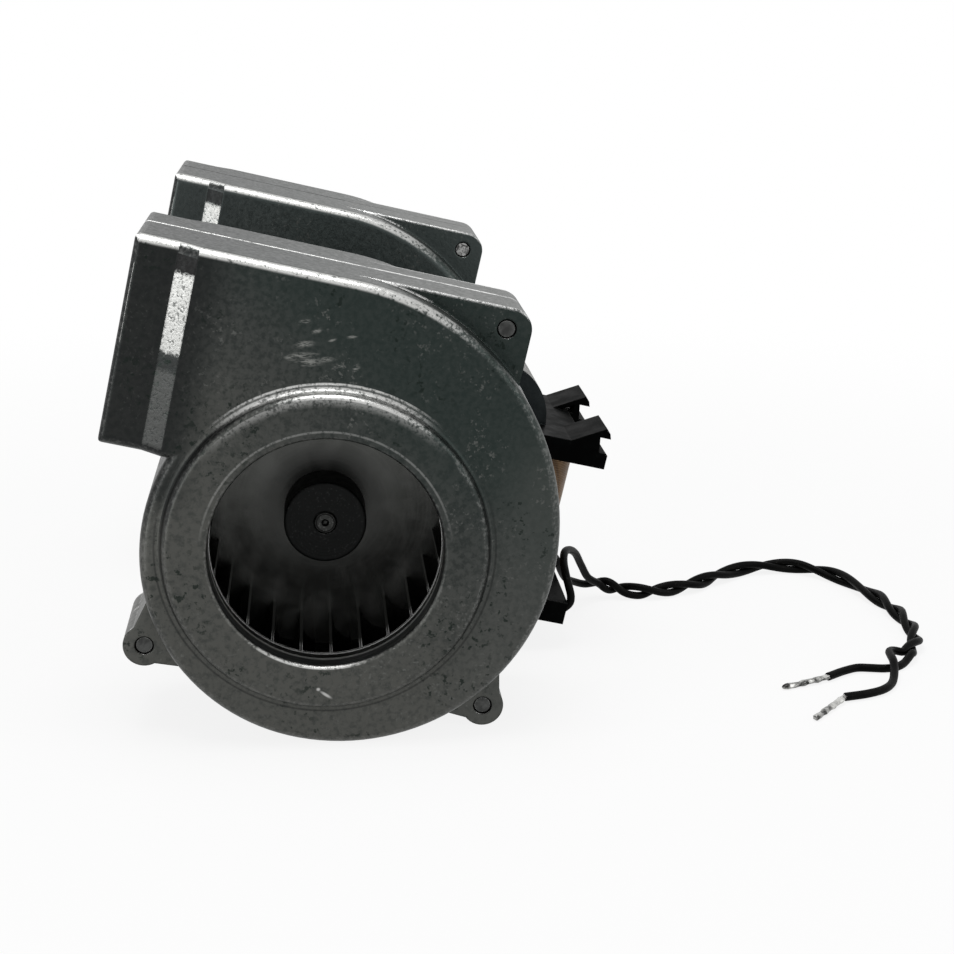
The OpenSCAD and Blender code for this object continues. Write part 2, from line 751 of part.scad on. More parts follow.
// Rotor
module shaft() {
  chamfer = 0.4;
  dimple_d = 1.6;
  color("lightgray") stand() rotate([90, 0, 0]) difference() {
    rotate_extrude() polygon([
      [0, -shaft_end], [shaft_r - chamfer, -shaft_end], [shaft_r, chamfer - shaft_end],
      [shaft_r, shaft_end - chamfer], [shaft_r - chamfer, shaft_end], [0, shaft_end]
    ]);
    for (z = [-shaft_end, shaft_end])
      translate([0, 0, z]) sphere(d = dimple_d);
  }
}
module rotor_core() {
  color("gray") front_end() ring(rotor_d / 2, shaft_r + fit, -stack_half, stack_half);
}
module rotor_end_rings() {
  out_r = rotor_d / 2 - 0.4;
  color("lightgray") front_end()
    for (low = [-stack_half - end_ring_h, stack_half])
      ring(out_r, out_r - end_ring_w, low, low + end_ring_h);
}
module thrust_spacers() {
  spacer_h = bridge_in - stack_half - thrust_gap;
  color("ivory") front_end()
    for (low = [-stack_half - spacer_h, stack_half])
      ring(shaft_r + 1.7, shaft_r + fit, low, low + spacer_h);
}

// Wheels
module wheel_ring() {
  color("gray") {
    ring(wheel_r, ring_bore_r, ring_back, ring_front);
    ring(wheel_r, wheel_r - sheet_t / 2, ring_back - ring_lip_h, ring_back);
  }
}
module blade_outline() {
  centre = [blade_in_r + 0.8, blade_curve - 0.3];
  intersection() {
    at(centre) difference() {
      circle(blade_curve + blade_t / 2);
      circle(blade_curve - blade_t / 2);
    }
    difference() {
      circle(min(blade_out_r, wheel_r - sheet_t / 2 - 0.05));
      circle(blade_in_r);
    }
    translate([blade_in_r / 2, -blade_curve]) square([wheel_r, centre[1] + blade_curve]);
  }
}
module wheel_blades() {
  color("gray") for (i = [0 : blade_count - 1])
    rotate(i * 360 / blade_count) translate([0, 0, plate_front]) linear_extrude(blade_len) blade_outline();
}
function dish_height(t) = plate_front + dish_rise * (1 + cos(180 * t)) / 2;
function dish_curve(drop) = [
  for (i = [0 : dish_steps])
    [dish_in_r + (dish_out_r - dish_in_r) * i / dish_steps, dish_height(i / dish_steps) - drop]
];
function backwards(list) = [for (i = [len(list) - 1 : -1 : 0]) list[i]];
module wheel_plate() {
  color("gray") rotate_extrude() polygon(concat(
    [[neck_r + fit, seat_front]], dish_curve(0), [[wheel_r, plate_front], [wheel_r, plate_back]],
    backwards(dish_curve(sheet_t)), [[neck_r + fit, seat_back]]
  ));
}
module wheel_hub() {
  hub_r = hub_d / 2;
  color("darkslategray") difference() {
    union() {
      translate([0, 0, seat_front]) rotate_extrude() edge_profile(hub_r, hub_h, hub_round, hub_round / 2);
      translate([0, 0, seat_back - collar_h]) cylinder(r = neck_r, h = seat_front - seat_back + collar_h + past);
      translate([0, 0, seat_back - collar_h]) cylinder(r = collar_r, h = collar_h);
    }
    cylinder(r = shaft_r + fit, h = face_out);
    translate([0, 0, seat_front + hub_h / 2]) rotate([0, 90, 0]) cylinder(d = grub_d + 2 * fit, h = hub_d);
  }
}
module grub_screw() {
  from = shaft_r + 0.1;
  length = hub_d / 2 - from - 0.6;
  color("dimgray") translate([0, 0, seat_front + hub_h / 2]) rotate([0, 90, 0]) difference() {
    translate([0, 0, from]) cylinder(d = grub_d, h = length);
    translate([0, 0, from + length / 2]) cylinder(d = grub_d / 2, h = length, $fn = 6);
  }
}
module front_wheel_ring() {
  front_end() wheel_ring();
}
module front_wheel_blades() {
  front_end() wheel_blades();
}
module front_wheel_plate() {
  front_end() wheel_plate();
}
module front_wheel_hub() {
  front_end() wheel_hub();
}
module front_grub_screw() {
  front_end() grub_screw();
}
module rear_wheel_ring() {
  rear_end() wheel_ring();
}
module rear_wheel_blades() {
  rear_end() wheel_blades();
}
module rear_wheel_plate() {
  rear_end() wheel_plate();
}
module rear_wheel_hub() {
  rear_end() wheel_hub();
}
module rear_grub_screw() {
  rear_end() grub_screw();
}

// Leads: a round section swept along a route without twisting
function unit(v) = v / norm(v);
function flat_left(p, i) =
  let (d = p[min(i + 1, len(p) - 1)] - p[max(i - 1, 0)])
  unit([-d[1], d[0], 0]);
function beside(p, step) = [for (i = [0 : len(p) - 1]) p[i] + step * flat_left(p, i)];
function heading(p, i) = unit(p[min(i + 1, len(p) - 1)] - p[max(i - 1, 0)]);
function square_to(n, t) = unit(n - (n * t) * t);
function normals(p) = [
  for (i = 0, n = square_to([1, 0.1, 0], heading(p, 0)); i < len(p);
       i = i + 1, n = square_to(n, heading(p, min(i, len(p) - 1)))) n
];
module sweep(p, d) {
  n = normals(p);
  last = len(p) - 1;
  points = [
    for (i = [0 : last], k = [0 : lead_sides - 1])
      let (a = (k + 0.5) * 360 / lead_sides, b = cross(heading(p, i), n[i]))
      p[i] + d / 2 * (cos(a) * n[i] + sin(a) * b)
  ];
  sides = [
    for (i = [0 : last - 1], k = [0 : lead_sides - 1])
      let (a = i * lead_sides + k, b = i * lead_sides + (k + 1) % lead_sides)
      each [[a, a + lead_sides, b], [b, a + lead_sides, b + lead_sides]]
  ];
  start_cap = [for (k = [0 : lead_sides - 1]) k];
  end_cap = [for (k = [lead_sides - 1 : -1 : 0]) last * lead_sides + k];
  polyhedron(points, concat(sides, [start_cap, end_cap]));
}
pair_step = lead_d / 2 + 0.1;
function moved(p, by) = [for (q = p) q + by];
function on_table(p) = moved(p, [right_edge, 0, rest_z]);
function lead_start(exit, tilt, loop) = [
  for (p = concat([-(lead_seat - slip) * [sin(tilt), 0, cos(tilt)], [0, 0, 0]], loop)) stood(exit + p)
];
lead_a_route = concat(
  lead_start(lead_a_exit, lead_a_tilt, lead_a_loop), beside(on_table(pair_run), -pair_step), on_table(lead_a_run)
);
lead_b_route = concat(
  lead_start(lead_b_exit, 0, lead_b_loop), beside(on_table(pair_run), pair_step), on_table(lead_b_run)
);
function tip_route(lead, run) =
  let (end = lead[len(lead) - 1])
  concat([end, end + tip_d * heading(lead, len(lead) - 1)], on_table(run));
module lead_a() {
  color("black") sweep(lead_a_route, lead_d);
}
module lead_b() {
  color("black") sweep(lead_b_route, lead_d);
}
module lead_a_tip() {
  color("silver") sweep(tip_route(lead_a_route, tip_a_run), tip_d);
}
module lead_b_tip() {
  color("silver") sweep(tip_route(lead_b_route, tip_b_run), tip_d);
}

front_inlet_shell();
front_motor_shell();
rear_motor_shell();
rear_inlet_shell();
front_scroll_screws();
rear_scroll_screws();
stator_stack();
core_leg();
shading_rings();
coil_bobbin();
coil_winding();
coil_terminals();
front_bearing_bridge();
rear_bearing_bridge();
front_bearing();
rear_bearing();
front_oil_felt();
rear_oil_felt();
front_bearing_retainer();
rear_bearing_retainer();
tie_bolts();
tie_washers();
tie_nuts();
shaft();
rotor_core();
rotor_end_rings();
thrust_spacers();
front_wheel_ring();
front_wheel_blades();
front_wheel_plate();
front_wheel_hub();
front_grub_screw();
rear_wheel_ring();
rear_wheel_blades();
rear_wheel_plate();
rear_wheel_hub();
rear_grub_screw();
lead_a();
lead_b();
lead_a_tip();
lead_b_tip();
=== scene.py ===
"""Looks of the twin scroll blower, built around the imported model, in metres and in its frame."""

import json
import math

import bpy
from mathutils import Matrix, Vector


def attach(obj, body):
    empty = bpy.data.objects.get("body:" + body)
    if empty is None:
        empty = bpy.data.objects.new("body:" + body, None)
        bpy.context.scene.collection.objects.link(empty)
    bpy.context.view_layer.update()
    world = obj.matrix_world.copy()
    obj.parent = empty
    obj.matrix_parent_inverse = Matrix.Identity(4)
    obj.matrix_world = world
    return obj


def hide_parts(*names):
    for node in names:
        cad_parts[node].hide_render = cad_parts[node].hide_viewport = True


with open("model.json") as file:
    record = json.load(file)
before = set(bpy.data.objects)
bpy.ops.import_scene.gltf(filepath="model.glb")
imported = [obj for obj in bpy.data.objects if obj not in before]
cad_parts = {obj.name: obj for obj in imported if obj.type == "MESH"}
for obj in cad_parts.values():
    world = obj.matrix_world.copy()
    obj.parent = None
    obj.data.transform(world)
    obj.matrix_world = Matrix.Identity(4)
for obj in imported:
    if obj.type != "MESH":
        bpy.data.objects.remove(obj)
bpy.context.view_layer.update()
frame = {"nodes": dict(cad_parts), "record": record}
scene = bpy.context.scene
scene.view_settings.view_transform = "Standard"

MM = 0.001
UP = Vector((0, 0, 1))
# The shaft runs along Y through this point
SHAFT_AT = Vector((-10.596, 0, 41.774)) * MM
# The scrolls lean as they stand: their own up, and their own level away from the outlets
SCROLL_UP = Vector((0.2171, 0, 0.9761))
SCROLL_OUT = Vector((0.976, 0, -0.217))
# Across the front face, towards the side where the painted reflection is darker and greener
UP_RIGHT = Vector((0.72, 0, 0.69))


def placed(points, origin=(0, 0, 0)):
    """Points in millimetres, from an origin in millimetres, as vectors in metres."""
    start = Vector(origin)
    return [(Vector(p) + start) * MM for p in points]


# Camera, where the photograph was taken from
CAMERA_AT = Vector((-12.29, -438.15, 153.44)) * MM
CAMERA_RIGHT = Vector((0.99628, -0.08589, 0.00681))
CAMERA_FORWARD = Vector((0.08470, 0.96178, -0.26039))
FOCAL_LENGTH = 71.06
SENSOR_WIDTH = 36
SHIFT = (0.00035, 0.0058)
CLIP = (0.01, 100)


def make_camera():
    lens = bpy.data.cameras.new("camera")
    lens.lens = FOCAL_LENGTH
    lens.sensor_width = SENSOR_WIDTH
    lens.shift_x, lens.shift_y = SHIFT
    lens.clip_start, lens.clip_end = CLIP
    camera = bpy.data.objects.new("camera", lens)
    back = -CAMERA_FORWARD.normalized()
    up = back.cross(CAMERA_RIGHT).normalized()
    right = up.cross(back)
    turn = Matrix((right, up, back)).transposed().to_4x4()
    camera.matrix_world = Matrix.Translation(CAMERA_AT) @ turn
    scene.collection.objects.link(camera)
    scene.camera = camera


make_camera()

# Leads: the route of part.scad, with the pair twisted about its line
LEAD_R = 0.95 * MM
TIP_R = 0.66 * MM
# Each lead of the pair lies this far from the pair's line, and more where the twist begins
PAIR_STEP = LEAD_R + 0.005 * MM
LOOSE_SHARE = 0.2
LOOSE_AT_TURN = 1
LOOSE_OVER_TURNS = 1.6
# Steps along the curves
TWIST_STEP = 0.8 * MM
LEAD_STEP = 0.6 * MM
TIP_STEP = 0.25 * MM
REST_Z = LEAD_R / MM + 0.15
RIGHT_EDGE = (54.963, 0, REST_Z)
# The second point of a start is where the lead leaves the block
LEAD_A_START = placed([
    (43.76, -20, 8.36), (45.71, -20, 9.37), (46.85, -20, 10.56), (47.05, -19.7, 12.15), (46.66, -19, 14.08),
    (46.21, -17, 16.23), (46.14, -13, 18.19), (46.92, -8.5, 19.4), (48.78, -4, 18.58), (50.82, 0.5, 16.23),
    (53.07, 5.5, 11.58), (55.53, 9.3, 6.99)])
LEAD_B_START = placed([
    (41.42, -8, 10.33), (41.9, -8, 12.48), (42.24, -8, 14.04), (42.86, -6.9, 16.1), (43.86, -4.2, 17.42),
    (45.23, -2, 16.4), (46.46, -0.3, 14.12), (47.75, 2.8, 10.92), (49.54, 7, 7.7), (52.17, 10.3, 5.68),
    (55.34, 12.5, 4.31)])
PAIR_RUN = placed([
    (3.9, 13.2, 2.2), (9.4, 13.4, 0.5), (14.3, 12.4, 0), (18.6, 12.9, 0), (23.8, 14.7, 0), (28.8, 17.6, 0),
    (33.5, 21.2, 0), (38.2, 25.2, 0), (45.2, 29.7, 0), (52.2, 31.9, 0), (59.2, 30.7, 0), (64.9, 26.7, 0),
    (69.5, 18.4, 0), (72.7, 7.6, 0), (74.4, -0.7, 0), (75.2, -8, 0), (75.3, -16.4, 0), (74.4, -24, 0),
    (72.2, -30.8, 0), (69, -36.2, 0)], RIGHT_EDGE)
# Half turns of the twist that the pair has made at each point of its run
PAIR_TURNS = (0, 1, 1.5, 2, 2.5, 3, 3.5, 4, 4.5, 5, 5.5, 6, 6.5, 7, 7.6, 8.2, 8.9, 9.6, 10.3, 11)
LEAD_A_RUN = placed([
    (66.7, -40.6, 0), (64.1, -42.7, -0.1), (61.4, -43.3, -0.1), (58, -43, 0), (55.3, -42.7, 0), (51.7, -44.4, 0),
    (47, -47.8, 0)], RIGHT_EDGE)
LEAD_B_RUN = placed([
    (65.6, -36, 1.5), (64, -38, 2), (63.4, -41, 2.15), (63, -44.4, 2.05), (62.2, -47.9, 1), (60.4, -52.4, 0),
    (57.3, -56.3, 0), (53.1, -58.6, 0), (47.5, -60.2, 0)], RIGHT_EDGE)
TIP_A_RUN = placed([(44.6, -48.9, -0.1), (39.7, -51, -0.3), (35.3, -52.6, -0.4)], RIGHT_EDGE)
TIP_B_RUN = placed([(45.9, -61.9, -0.1), (42, -66.2, -0.3), (37.9, -71, -0.4)], RIGHT_EDGE)
# Tinned ends: twisted strands, lumpy with solder, pressed a little flat and rounded at the end
TIP_SIDES = 30
TIP_STRANDS = 5
TIP_LAY = 1.1  # radians of twist in a millimetre
TIP_RIDGE = 0.09
TIP_LUMPS = ((0.09, 1.7, 1), (0.06, 3.1, 2))  # share of the radius, radians in a millimetre, times the seed
TIP_WIDE, TIP_HIGH = 1.1, 0.9
TIP_ROUNDING = 1.2
TIP_CLOSED = 0.02


def through(points, step):
    """Points about step apart on a smooth curve through the given ones."""
    ends = [2 * points[0] - points[1]] + list(points) + [2 * points[-1] - points[-2]]
    out = []
    for a, b, c, d in zip(ends, ends[1:], ends[2:], ends[3:]):
        t1 = (b - a).length ** 0.5
        t2 = t1 + (c - b).length ** 0.5
        t3 = t2 + (d - c).length ** 0.5
        count = max(1, round((c - b).length / step))
        for i in range(count):
            t = t1 + (t2 - t1) * i / count
            ab = a.lerp(b, t / t1)
            bc = b.lerp(c, (t - t1) / (t2 - t1))
            cd = c.lerp(d, (t - t2) / (t3 - t2))
            early = ab.lerp(bc, t / t2)
            late = bc.lerp(cd, (t - t1) / (t3 - t1))
            out.append(early.lerp(late, (t - t1) / (t2 - t1)))
    out.append(points[-1])
    return out


def headings(line):
    """The direction of a line at each of its points."""
    last = len(line) - 1
    return [(line[min(i + 1, last)] - line[max(i - 1, 0)]).normalized() for i in range(last + 1)]


def length_of(line):
    return sum((b - a).length for a, b in zip(line, line[1:]))


def twisted(run, turns, side):
    """One lead of the twisted pair: side is 1 for the lead that starts left of the run, -1 for the other."""
    knots = [p.to_4d() for p in run]
    for knot, made in zip(knots, turns):
        knot.w = made * MM
    knots = through(knots, TWIST_STEP)
    line = [Vector(knot[:3]) for knot in knots]
    out = []
    for p, along, knot in zip(line, headings(line), knots):
        left = UP.cross(along).normalized()
        made = knot.w / MM
        angle = math.pi * made
        loose = 1 + LOOSE_SHARE * max(0, 1 - abs(made - LOOSE_AT_TURN) / LOOSE_OVER_TURNS)
        outward = math.cos(angle) * left + math.sin(angle) * UP
        out.append(p + UP * LEAD_R + side * PAIR_STEP * loose * outward)
    return out


def lead_line(start, side, run):
    """A lead's centreline, from the block to the end of its insulation."""
    return through(start + twisted(PAIR_RUN, PAIR_TURNS, side) + run, LEAD_STEP)


def make_lead(name, line):
    """A round tube along a line. Its points carry the radius, so the curve's own depth is 1."""
    curve = bpy.data.curves.new(name, "CURVE")
    curve.dimensions = "3D"
    curve.bevel_depth = 1
    curve.bevel_resolution = 5
    curve.use_fill_caps = True
    spline = curve.splines.new("POLY")
    spline.points.add(len(line) - 1)
    for point, p in zip(spline.points, line):
        point.co = (*p, 1)
        point.radius = LEAD_R
    lead = bpy.data.objects.new(name, curve)
    scene.collection.objects.link(lead)
    return lead


def make_tip(name, line, seed):
    """Tinned strands: a twisted, lumpy rod with a rounded end."""
    total = length_of(line)
    points, faces = [], []
    gone = 0.0
    for i, (p, along) in enumerate(zip(line, headings(line))):
        if i:
            gone += (p - line[i - 1]).length
        left = UP.cross(along).normalized()
        top = along.cross(left)
        ending = min(1, (total - gone) / (TIP_ROUNDING * TIP_R))
        closing = math.sqrt(max(TIP_CLOSED, 1 - (1 - ending) ** 2))
        lump = 1 + sum(share * math.sin(gone / MM * waves + times * seed) for share, waves, times in TIP_LUMPS)
        for k in range(TIP_SIDES):
            angle = 2 * math.pi * k / TIP_SIDES
            ridge = 1 + TIP_RIDGE * math.cos(TIP_STRANDS * angle + gone / MM * TIP_LAY + seed)
            r = TIP_R * closing * lump * ridge
            points.append(p + r * (TIP_WIDE * math.cos(angle) * left + TIP_HIGH * math.sin(angle) * top))
    rings = len(line)
    for i in range(rings - 1):
        here, there = i * TIP_SIDES, (i + 1) * TIP_SIDES
        for k in range(TIP_SIDES):
            n = (k + 1) % TIP_SIDES
            faces.append((here + k, here + n, there + n, there + k))
    faces.append(tuple(reversed(range(TIP_SIDES))))
    faces.append(tuple(range((rings - 1) * TIP_SIDES, rings * TIP_SIDES)))
    mesh = bpy.data.meshes.new(name)
    mesh.from_pydata(points, [], faces)
    for face in mesh.polygons:
        face.use_smooth = True
    tip = bpy.data.objects.new(name, mesh)
    scene.collection.objects.link(tip)
    return tip


def wire(name, start, side, run, tip_run, seed):
    """A lead with its tinned end, in place of the two solids that stand for them."""
    line = lead_line(start, side, run)
    lead = make_lead(name + "_insulation", line)
    tip = make_tip(name + "_tinned", through([line[-3], line[-1]] + tip_run, TIP_STEP), seed)
    for piece, node, slot in ((lead, name, "lead_insulation"), (tip, name + "_tip", "tinned_metal")):
        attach(piece, "housing")
        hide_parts(node)
    return lead, tip


lead_a, tip_a = wire("lead_a", LEAD_A_START, -1, LEAD_A_RUN, TIP_A_RUN, 0.4)
lead_b, tip_b = wire("lead_b", LEAD_B_START, 1, LEAD_B_RUN, TIP_B_RUN, 2.1)


# Materials. An edge shows where rounding would turn the normal: the cosine of that turn where the edge begins and
# where it is full, and how much an edge that counts as upward has to face up
BEVEL_SAMPLES = 4
EDGE_COSINES = (0.995, 0.86)
EDGE_RISE = (0.25, 0.55)


class Finish:
    """A procedural material: one Principled shader and the nodes that feed it. Lengths are in millimetres."""

    def __init__(self, name, **constants):
        self.material = bpy.data.materials.new(name)
        self.material.use_nodes = True
        self.tree = self.material.node_tree
        self.shader = self.tree.nodes["Principled BSDF"]
        for socket, value in constants.items():
            self.shader.inputs[socket.replace("_", " ")].default_value = value
        self.place = self.add("ShaderNodeTexCoord").outputs["Object"]

    def add(self, kind, **settings):
        node = self.tree.nodes.new(kind)
        for key, value in settings.items():
            setattr(node, key, value)
        return node

    def feed(self, socket, value):
        """Link a socket to another one, or set it to a value."""
        if isinstance(value, bpy.types.NodeSocket):
            self.tree.links.new(value, socket)
        else:
            socket.default_value = value

    def give(self, **sockets):
        """Feed the shader's own sockets."""
        for name, value in sockets.items():
            self.feed(self.shader.inputs[name.replace("_", " ")], value)

    # Numbers and masks
    def math(self, operation, a, b=None):
        node = self.add("ShaderNodeMath", operation=operation)
        self.feed(node.inputs[0], a)
        if b is not None:
            self.feed(node.inputs[1], b)
        return node.outputs[0]

    def vector_math(self, operation, a, b=None, output="Vector"):
        node = self.add("ShaderNodeVectorMath", operation=operation)
        self.feed(node.inputs[0], a)
        if b is not None:
            self.feed(node.inputs[1], b)
        return node.outputs[output]

    def plus(self, a, b):
        return self.math("ADD", a, b)

    def minus(self, a, b):
        return self.math("SUBTRACT", a, b)

    def times(self, *values):
        """The product of several masks."""
        last = values[0]
        for value in values[1:]:
            last = self.math("MULTIPLY", last, value)
        return last

    def most(self, *values):
        """The largest of several masks."""
        last = values[0]
        for value in values[1:]:
            last = self.math("MAXIMUM", last, value)
        return last

    def span(self, value, low, high, to_low=0.0, to_high=1.0):
        """A smooth step from to_low, where the value is low, to to_high, where it is high."""
        node = self.add("ShaderNodeMapRange", interpolation_type="SMOOTHSTEP")
        self.feed(node.inputs["Value"], value)
        for socket, number in (("From Min", low), ("From Max", high), ("To Min", to_low), ("To Max", to_high)):
            node.inputs[socket].default_value = number
        return node.outputs["Result"]

    def band(self, value, outer_low, inner_low, inner_high, outer_high):
        """1 between the two inner values, falling to 0 at the outer ones."""
        return self.times(self.span(value, outer_low, inner_low), self.span(value, outer_high, inner_high))

    def off(self, mask, left=0.0):
        """1 where a mask is 0, falling smoothly to what is left where it is 1."""
        return self.span(mask, 0, 1, 1, left)

    # Colours
    def mix(self, share, a, b):
        node = self.add("ShaderNodeMix", data_type="RGBA")
        self.feed(node.inputs[0], share)
        for socket, value in ((node.inputs[6], a), (node.inputs[7], b)):
            self.feed(socket, (*value, 1) if isinstance(value, tuple) else value)
        return node.outputs[2]

    def layered(self, tone, *layers):
        """A tone with layers of (share, colour) laid over it in turn."""
        for share, colour in layers:
            tone = self.mix(share, tone, colour)
        return tone

    # Places and directions
    def part(self, vector, axis):
        node = self.add("ShaderNodeSeparateXYZ")
        self.feed(node.inputs[0], vector)
        return node.outputs[axis]

    def along(self, axis):
        """How far a point lies along an axis."""
        return self.times(self.part(self.place, axis), 1 / MM)

    def from_shaft(self):
        return self.vector_math("SUBTRACT", self.place, SHAFT_AT)

    def height_over_shaft(self, direction):
        """How far a point lies over the shaft, in a direction."""
        return self.vector_math("DOT_PRODUCT", self.from_shaft(), direction / MM, "Value")

    def round_the_shaft(self):
        """Distance from the shaft, and angle round it, for turned and spun marks."""
        place = self.from_shaft()
        x, z = self.part(place, 0), self.part(place, 2)
        squares = self.plus(self.times(x, x), self.times(z, z))
        return self.times(self.math("SQRT", squares), 1 / MM), self.math("ARCTAN2", z, x)

    def towards(self, axis):
        """How much the surface faces along an axis, from -1 to 1."""
        return self.part(self.add("ShaderNodeNewGeometry").outputs["Normal"], axis)

    def facing(self, axis):
        """How much the surface faces along an axis, either way, from 0 to 1."""
        return self.math("ABSOLUTE", self.towards(axis))

    # Textures
    def stretched(self, scale, turn=(0, 0, 0)):
        node = self.add("ShaderNodeMapping")
        self.feed(node.inputs["Vector"], self.place)
        node.inputs["Scale"].default_value = scale
        node.inputs["Rotation"].default_value = turn
        return node.outputs["Vector"]

    def noise(self, scale, detail=3, rough=0.55, bend=0, place=None):
        """Noise with scale waves in a metre, or in a unit of the given place."""
        node = self.add("ShaderNodeTexNoise")
        self.feed(node.inputs["Vector"], place or self.place)
        node.inputs["Scale"].default_value = scale
        node.inputs["Detail"].default_value = detail
        node.inputs["Roughness"].default_value = rough
        node.inputs["Distortion"].default_value = bend
        return node.outputs["Fac"]

    def ripples(self, value, pitch):
        """Even waves along a length."""
        return self.math("SINE", self.times(value, 2 * math.pi / pitch))

    def scratches(self, across, along, turn, low, high):
        """Fine straight scratches in one direction, in patches."""
        fine = self.noise(1, 2, 0.5, 0, self.stretched((across, across, along), turn))
        patches = self.span(self.noise(along * 1.3, 2), 0.5, 0.68)
        return self.times(self.span(fine, low, high), patches)

    def strokes(self, marks, y):
        """Soft marks on a front face: x, z, length, width and turn of each."""
        return self.most(*(self.stroke(placed([(x, y, z)])[0], *form) for x, z, *form in marks))

    def stroke(self, point, length, width, turn):
        """One soft mark at a point of the frame, length by width, turned in the picture plane."""
        turned = self.add("ShaderNodeVectorRotate", rotation_type="Y_AXIS")
        self.feed(turned.inputs["Vector"], self.vector_math("SUBTRACT", self.place, point))
        turned.inputs["Angle"].default_value = turn
        scale = Vector((2 / length, 1 / width, 2 / width)) / MM
        scaled = self.vector_math("MULTIPLY", turned.outputs[0], scale)
        return self.span(self.vector_math("LENGTH", scaled, output="Value"), 1, 0.2)

    def bevelled(self, radius):
        """The normal that the surface would have with its edges rounded."""
        node = self.add("ShaderNodeBevel", samples=BEVEL_SAMPLES)
        node.inputs["Radius"].default_value = radius * MM
        return node.outputs["Normal"]

    def edges(self, radius, upward=False):
        """A mask of convex and concave edges, about radius wide, or of those that face upward."""
        rounded = self.bevelled(radius)
        normal = self.add("ShaderNodeNewGeometry").outputs["Normal"]
        mask = self.span(self.vector_math("DOT_PRODUCT", rounded, normal, "Value"), *EDGE_COSINES)
        if upward:
            mask = self.times(mask, self.span(self.part(rounded, 2), *EDGE_RISE))
        return mask

    def bump(self, *layers, soft_edge=None):
        """Layers of (height, strength, depth), one over the other, and edges that shade as if rounded."""
        under = self.bevelled(soft_edge) if soft_edge else None
        for height, strength, depth in layers:
            node = self.add("ShaderNodeBump")
            self.feed(node.inputs["Height"], height)
            node.inputs["Strength"].default_value = strength
            node.inputs["Distance"].default_value = depth * MM
            if under:
                self.feed(node.inputs["Normal"], under)
            under = node.outputs["Normal"]
        self.give(Normal=under)


# Places on the scrolls, in millimetres: the faces that carry marks, the planes where the castings meet, on either
# side of the middle, the radii of the inlet ring and its bore, the bore's inner end, and the top over the shaft
FRONT_FACE_Y = -76.35
RING_FACE_Y = -79.35
FRONT_PARTING = 54.35
REAR_PARTING = 58.35
RING_R = 32.7
BORE_R = 23.6
BORE_END = 74.15
TOP_UP = 54.5
# x, z, length, width and turn of the rubbed marks on the front face and of the nicks on the ring
RUBBED = (
    (-14.4, 81.7, 8, 1.6, 0.02), (-13.2, 80.3, 7.4, 2.2, 0.03), (-16.9, 81.2, 3.4, 1.5, -0.15),
    (-10.4, 80.8, 5, 1.5, 0.05), (-14.2, 83.9, 5.2, 1.9, 0.12), (-11.8, 86.4, 3.2, 1.3, 0.4),
    (-5, 85.2, 2.8, 0.8, 0.1), (-7.6, 79.4, 3.4, 1.3, -0.1), (-8.8, 84.6, 2.2, 0.7, 0.3),
    (-4.2, 79, 2.4, 1.4, 0.6), (-14, 88.4, 3, 1.1, 0.1))
NICKS = ((-12.6, 13.4, 1.1, 1, 0), (-11.1, 12.2, 3.6, 0.9, -0.6))


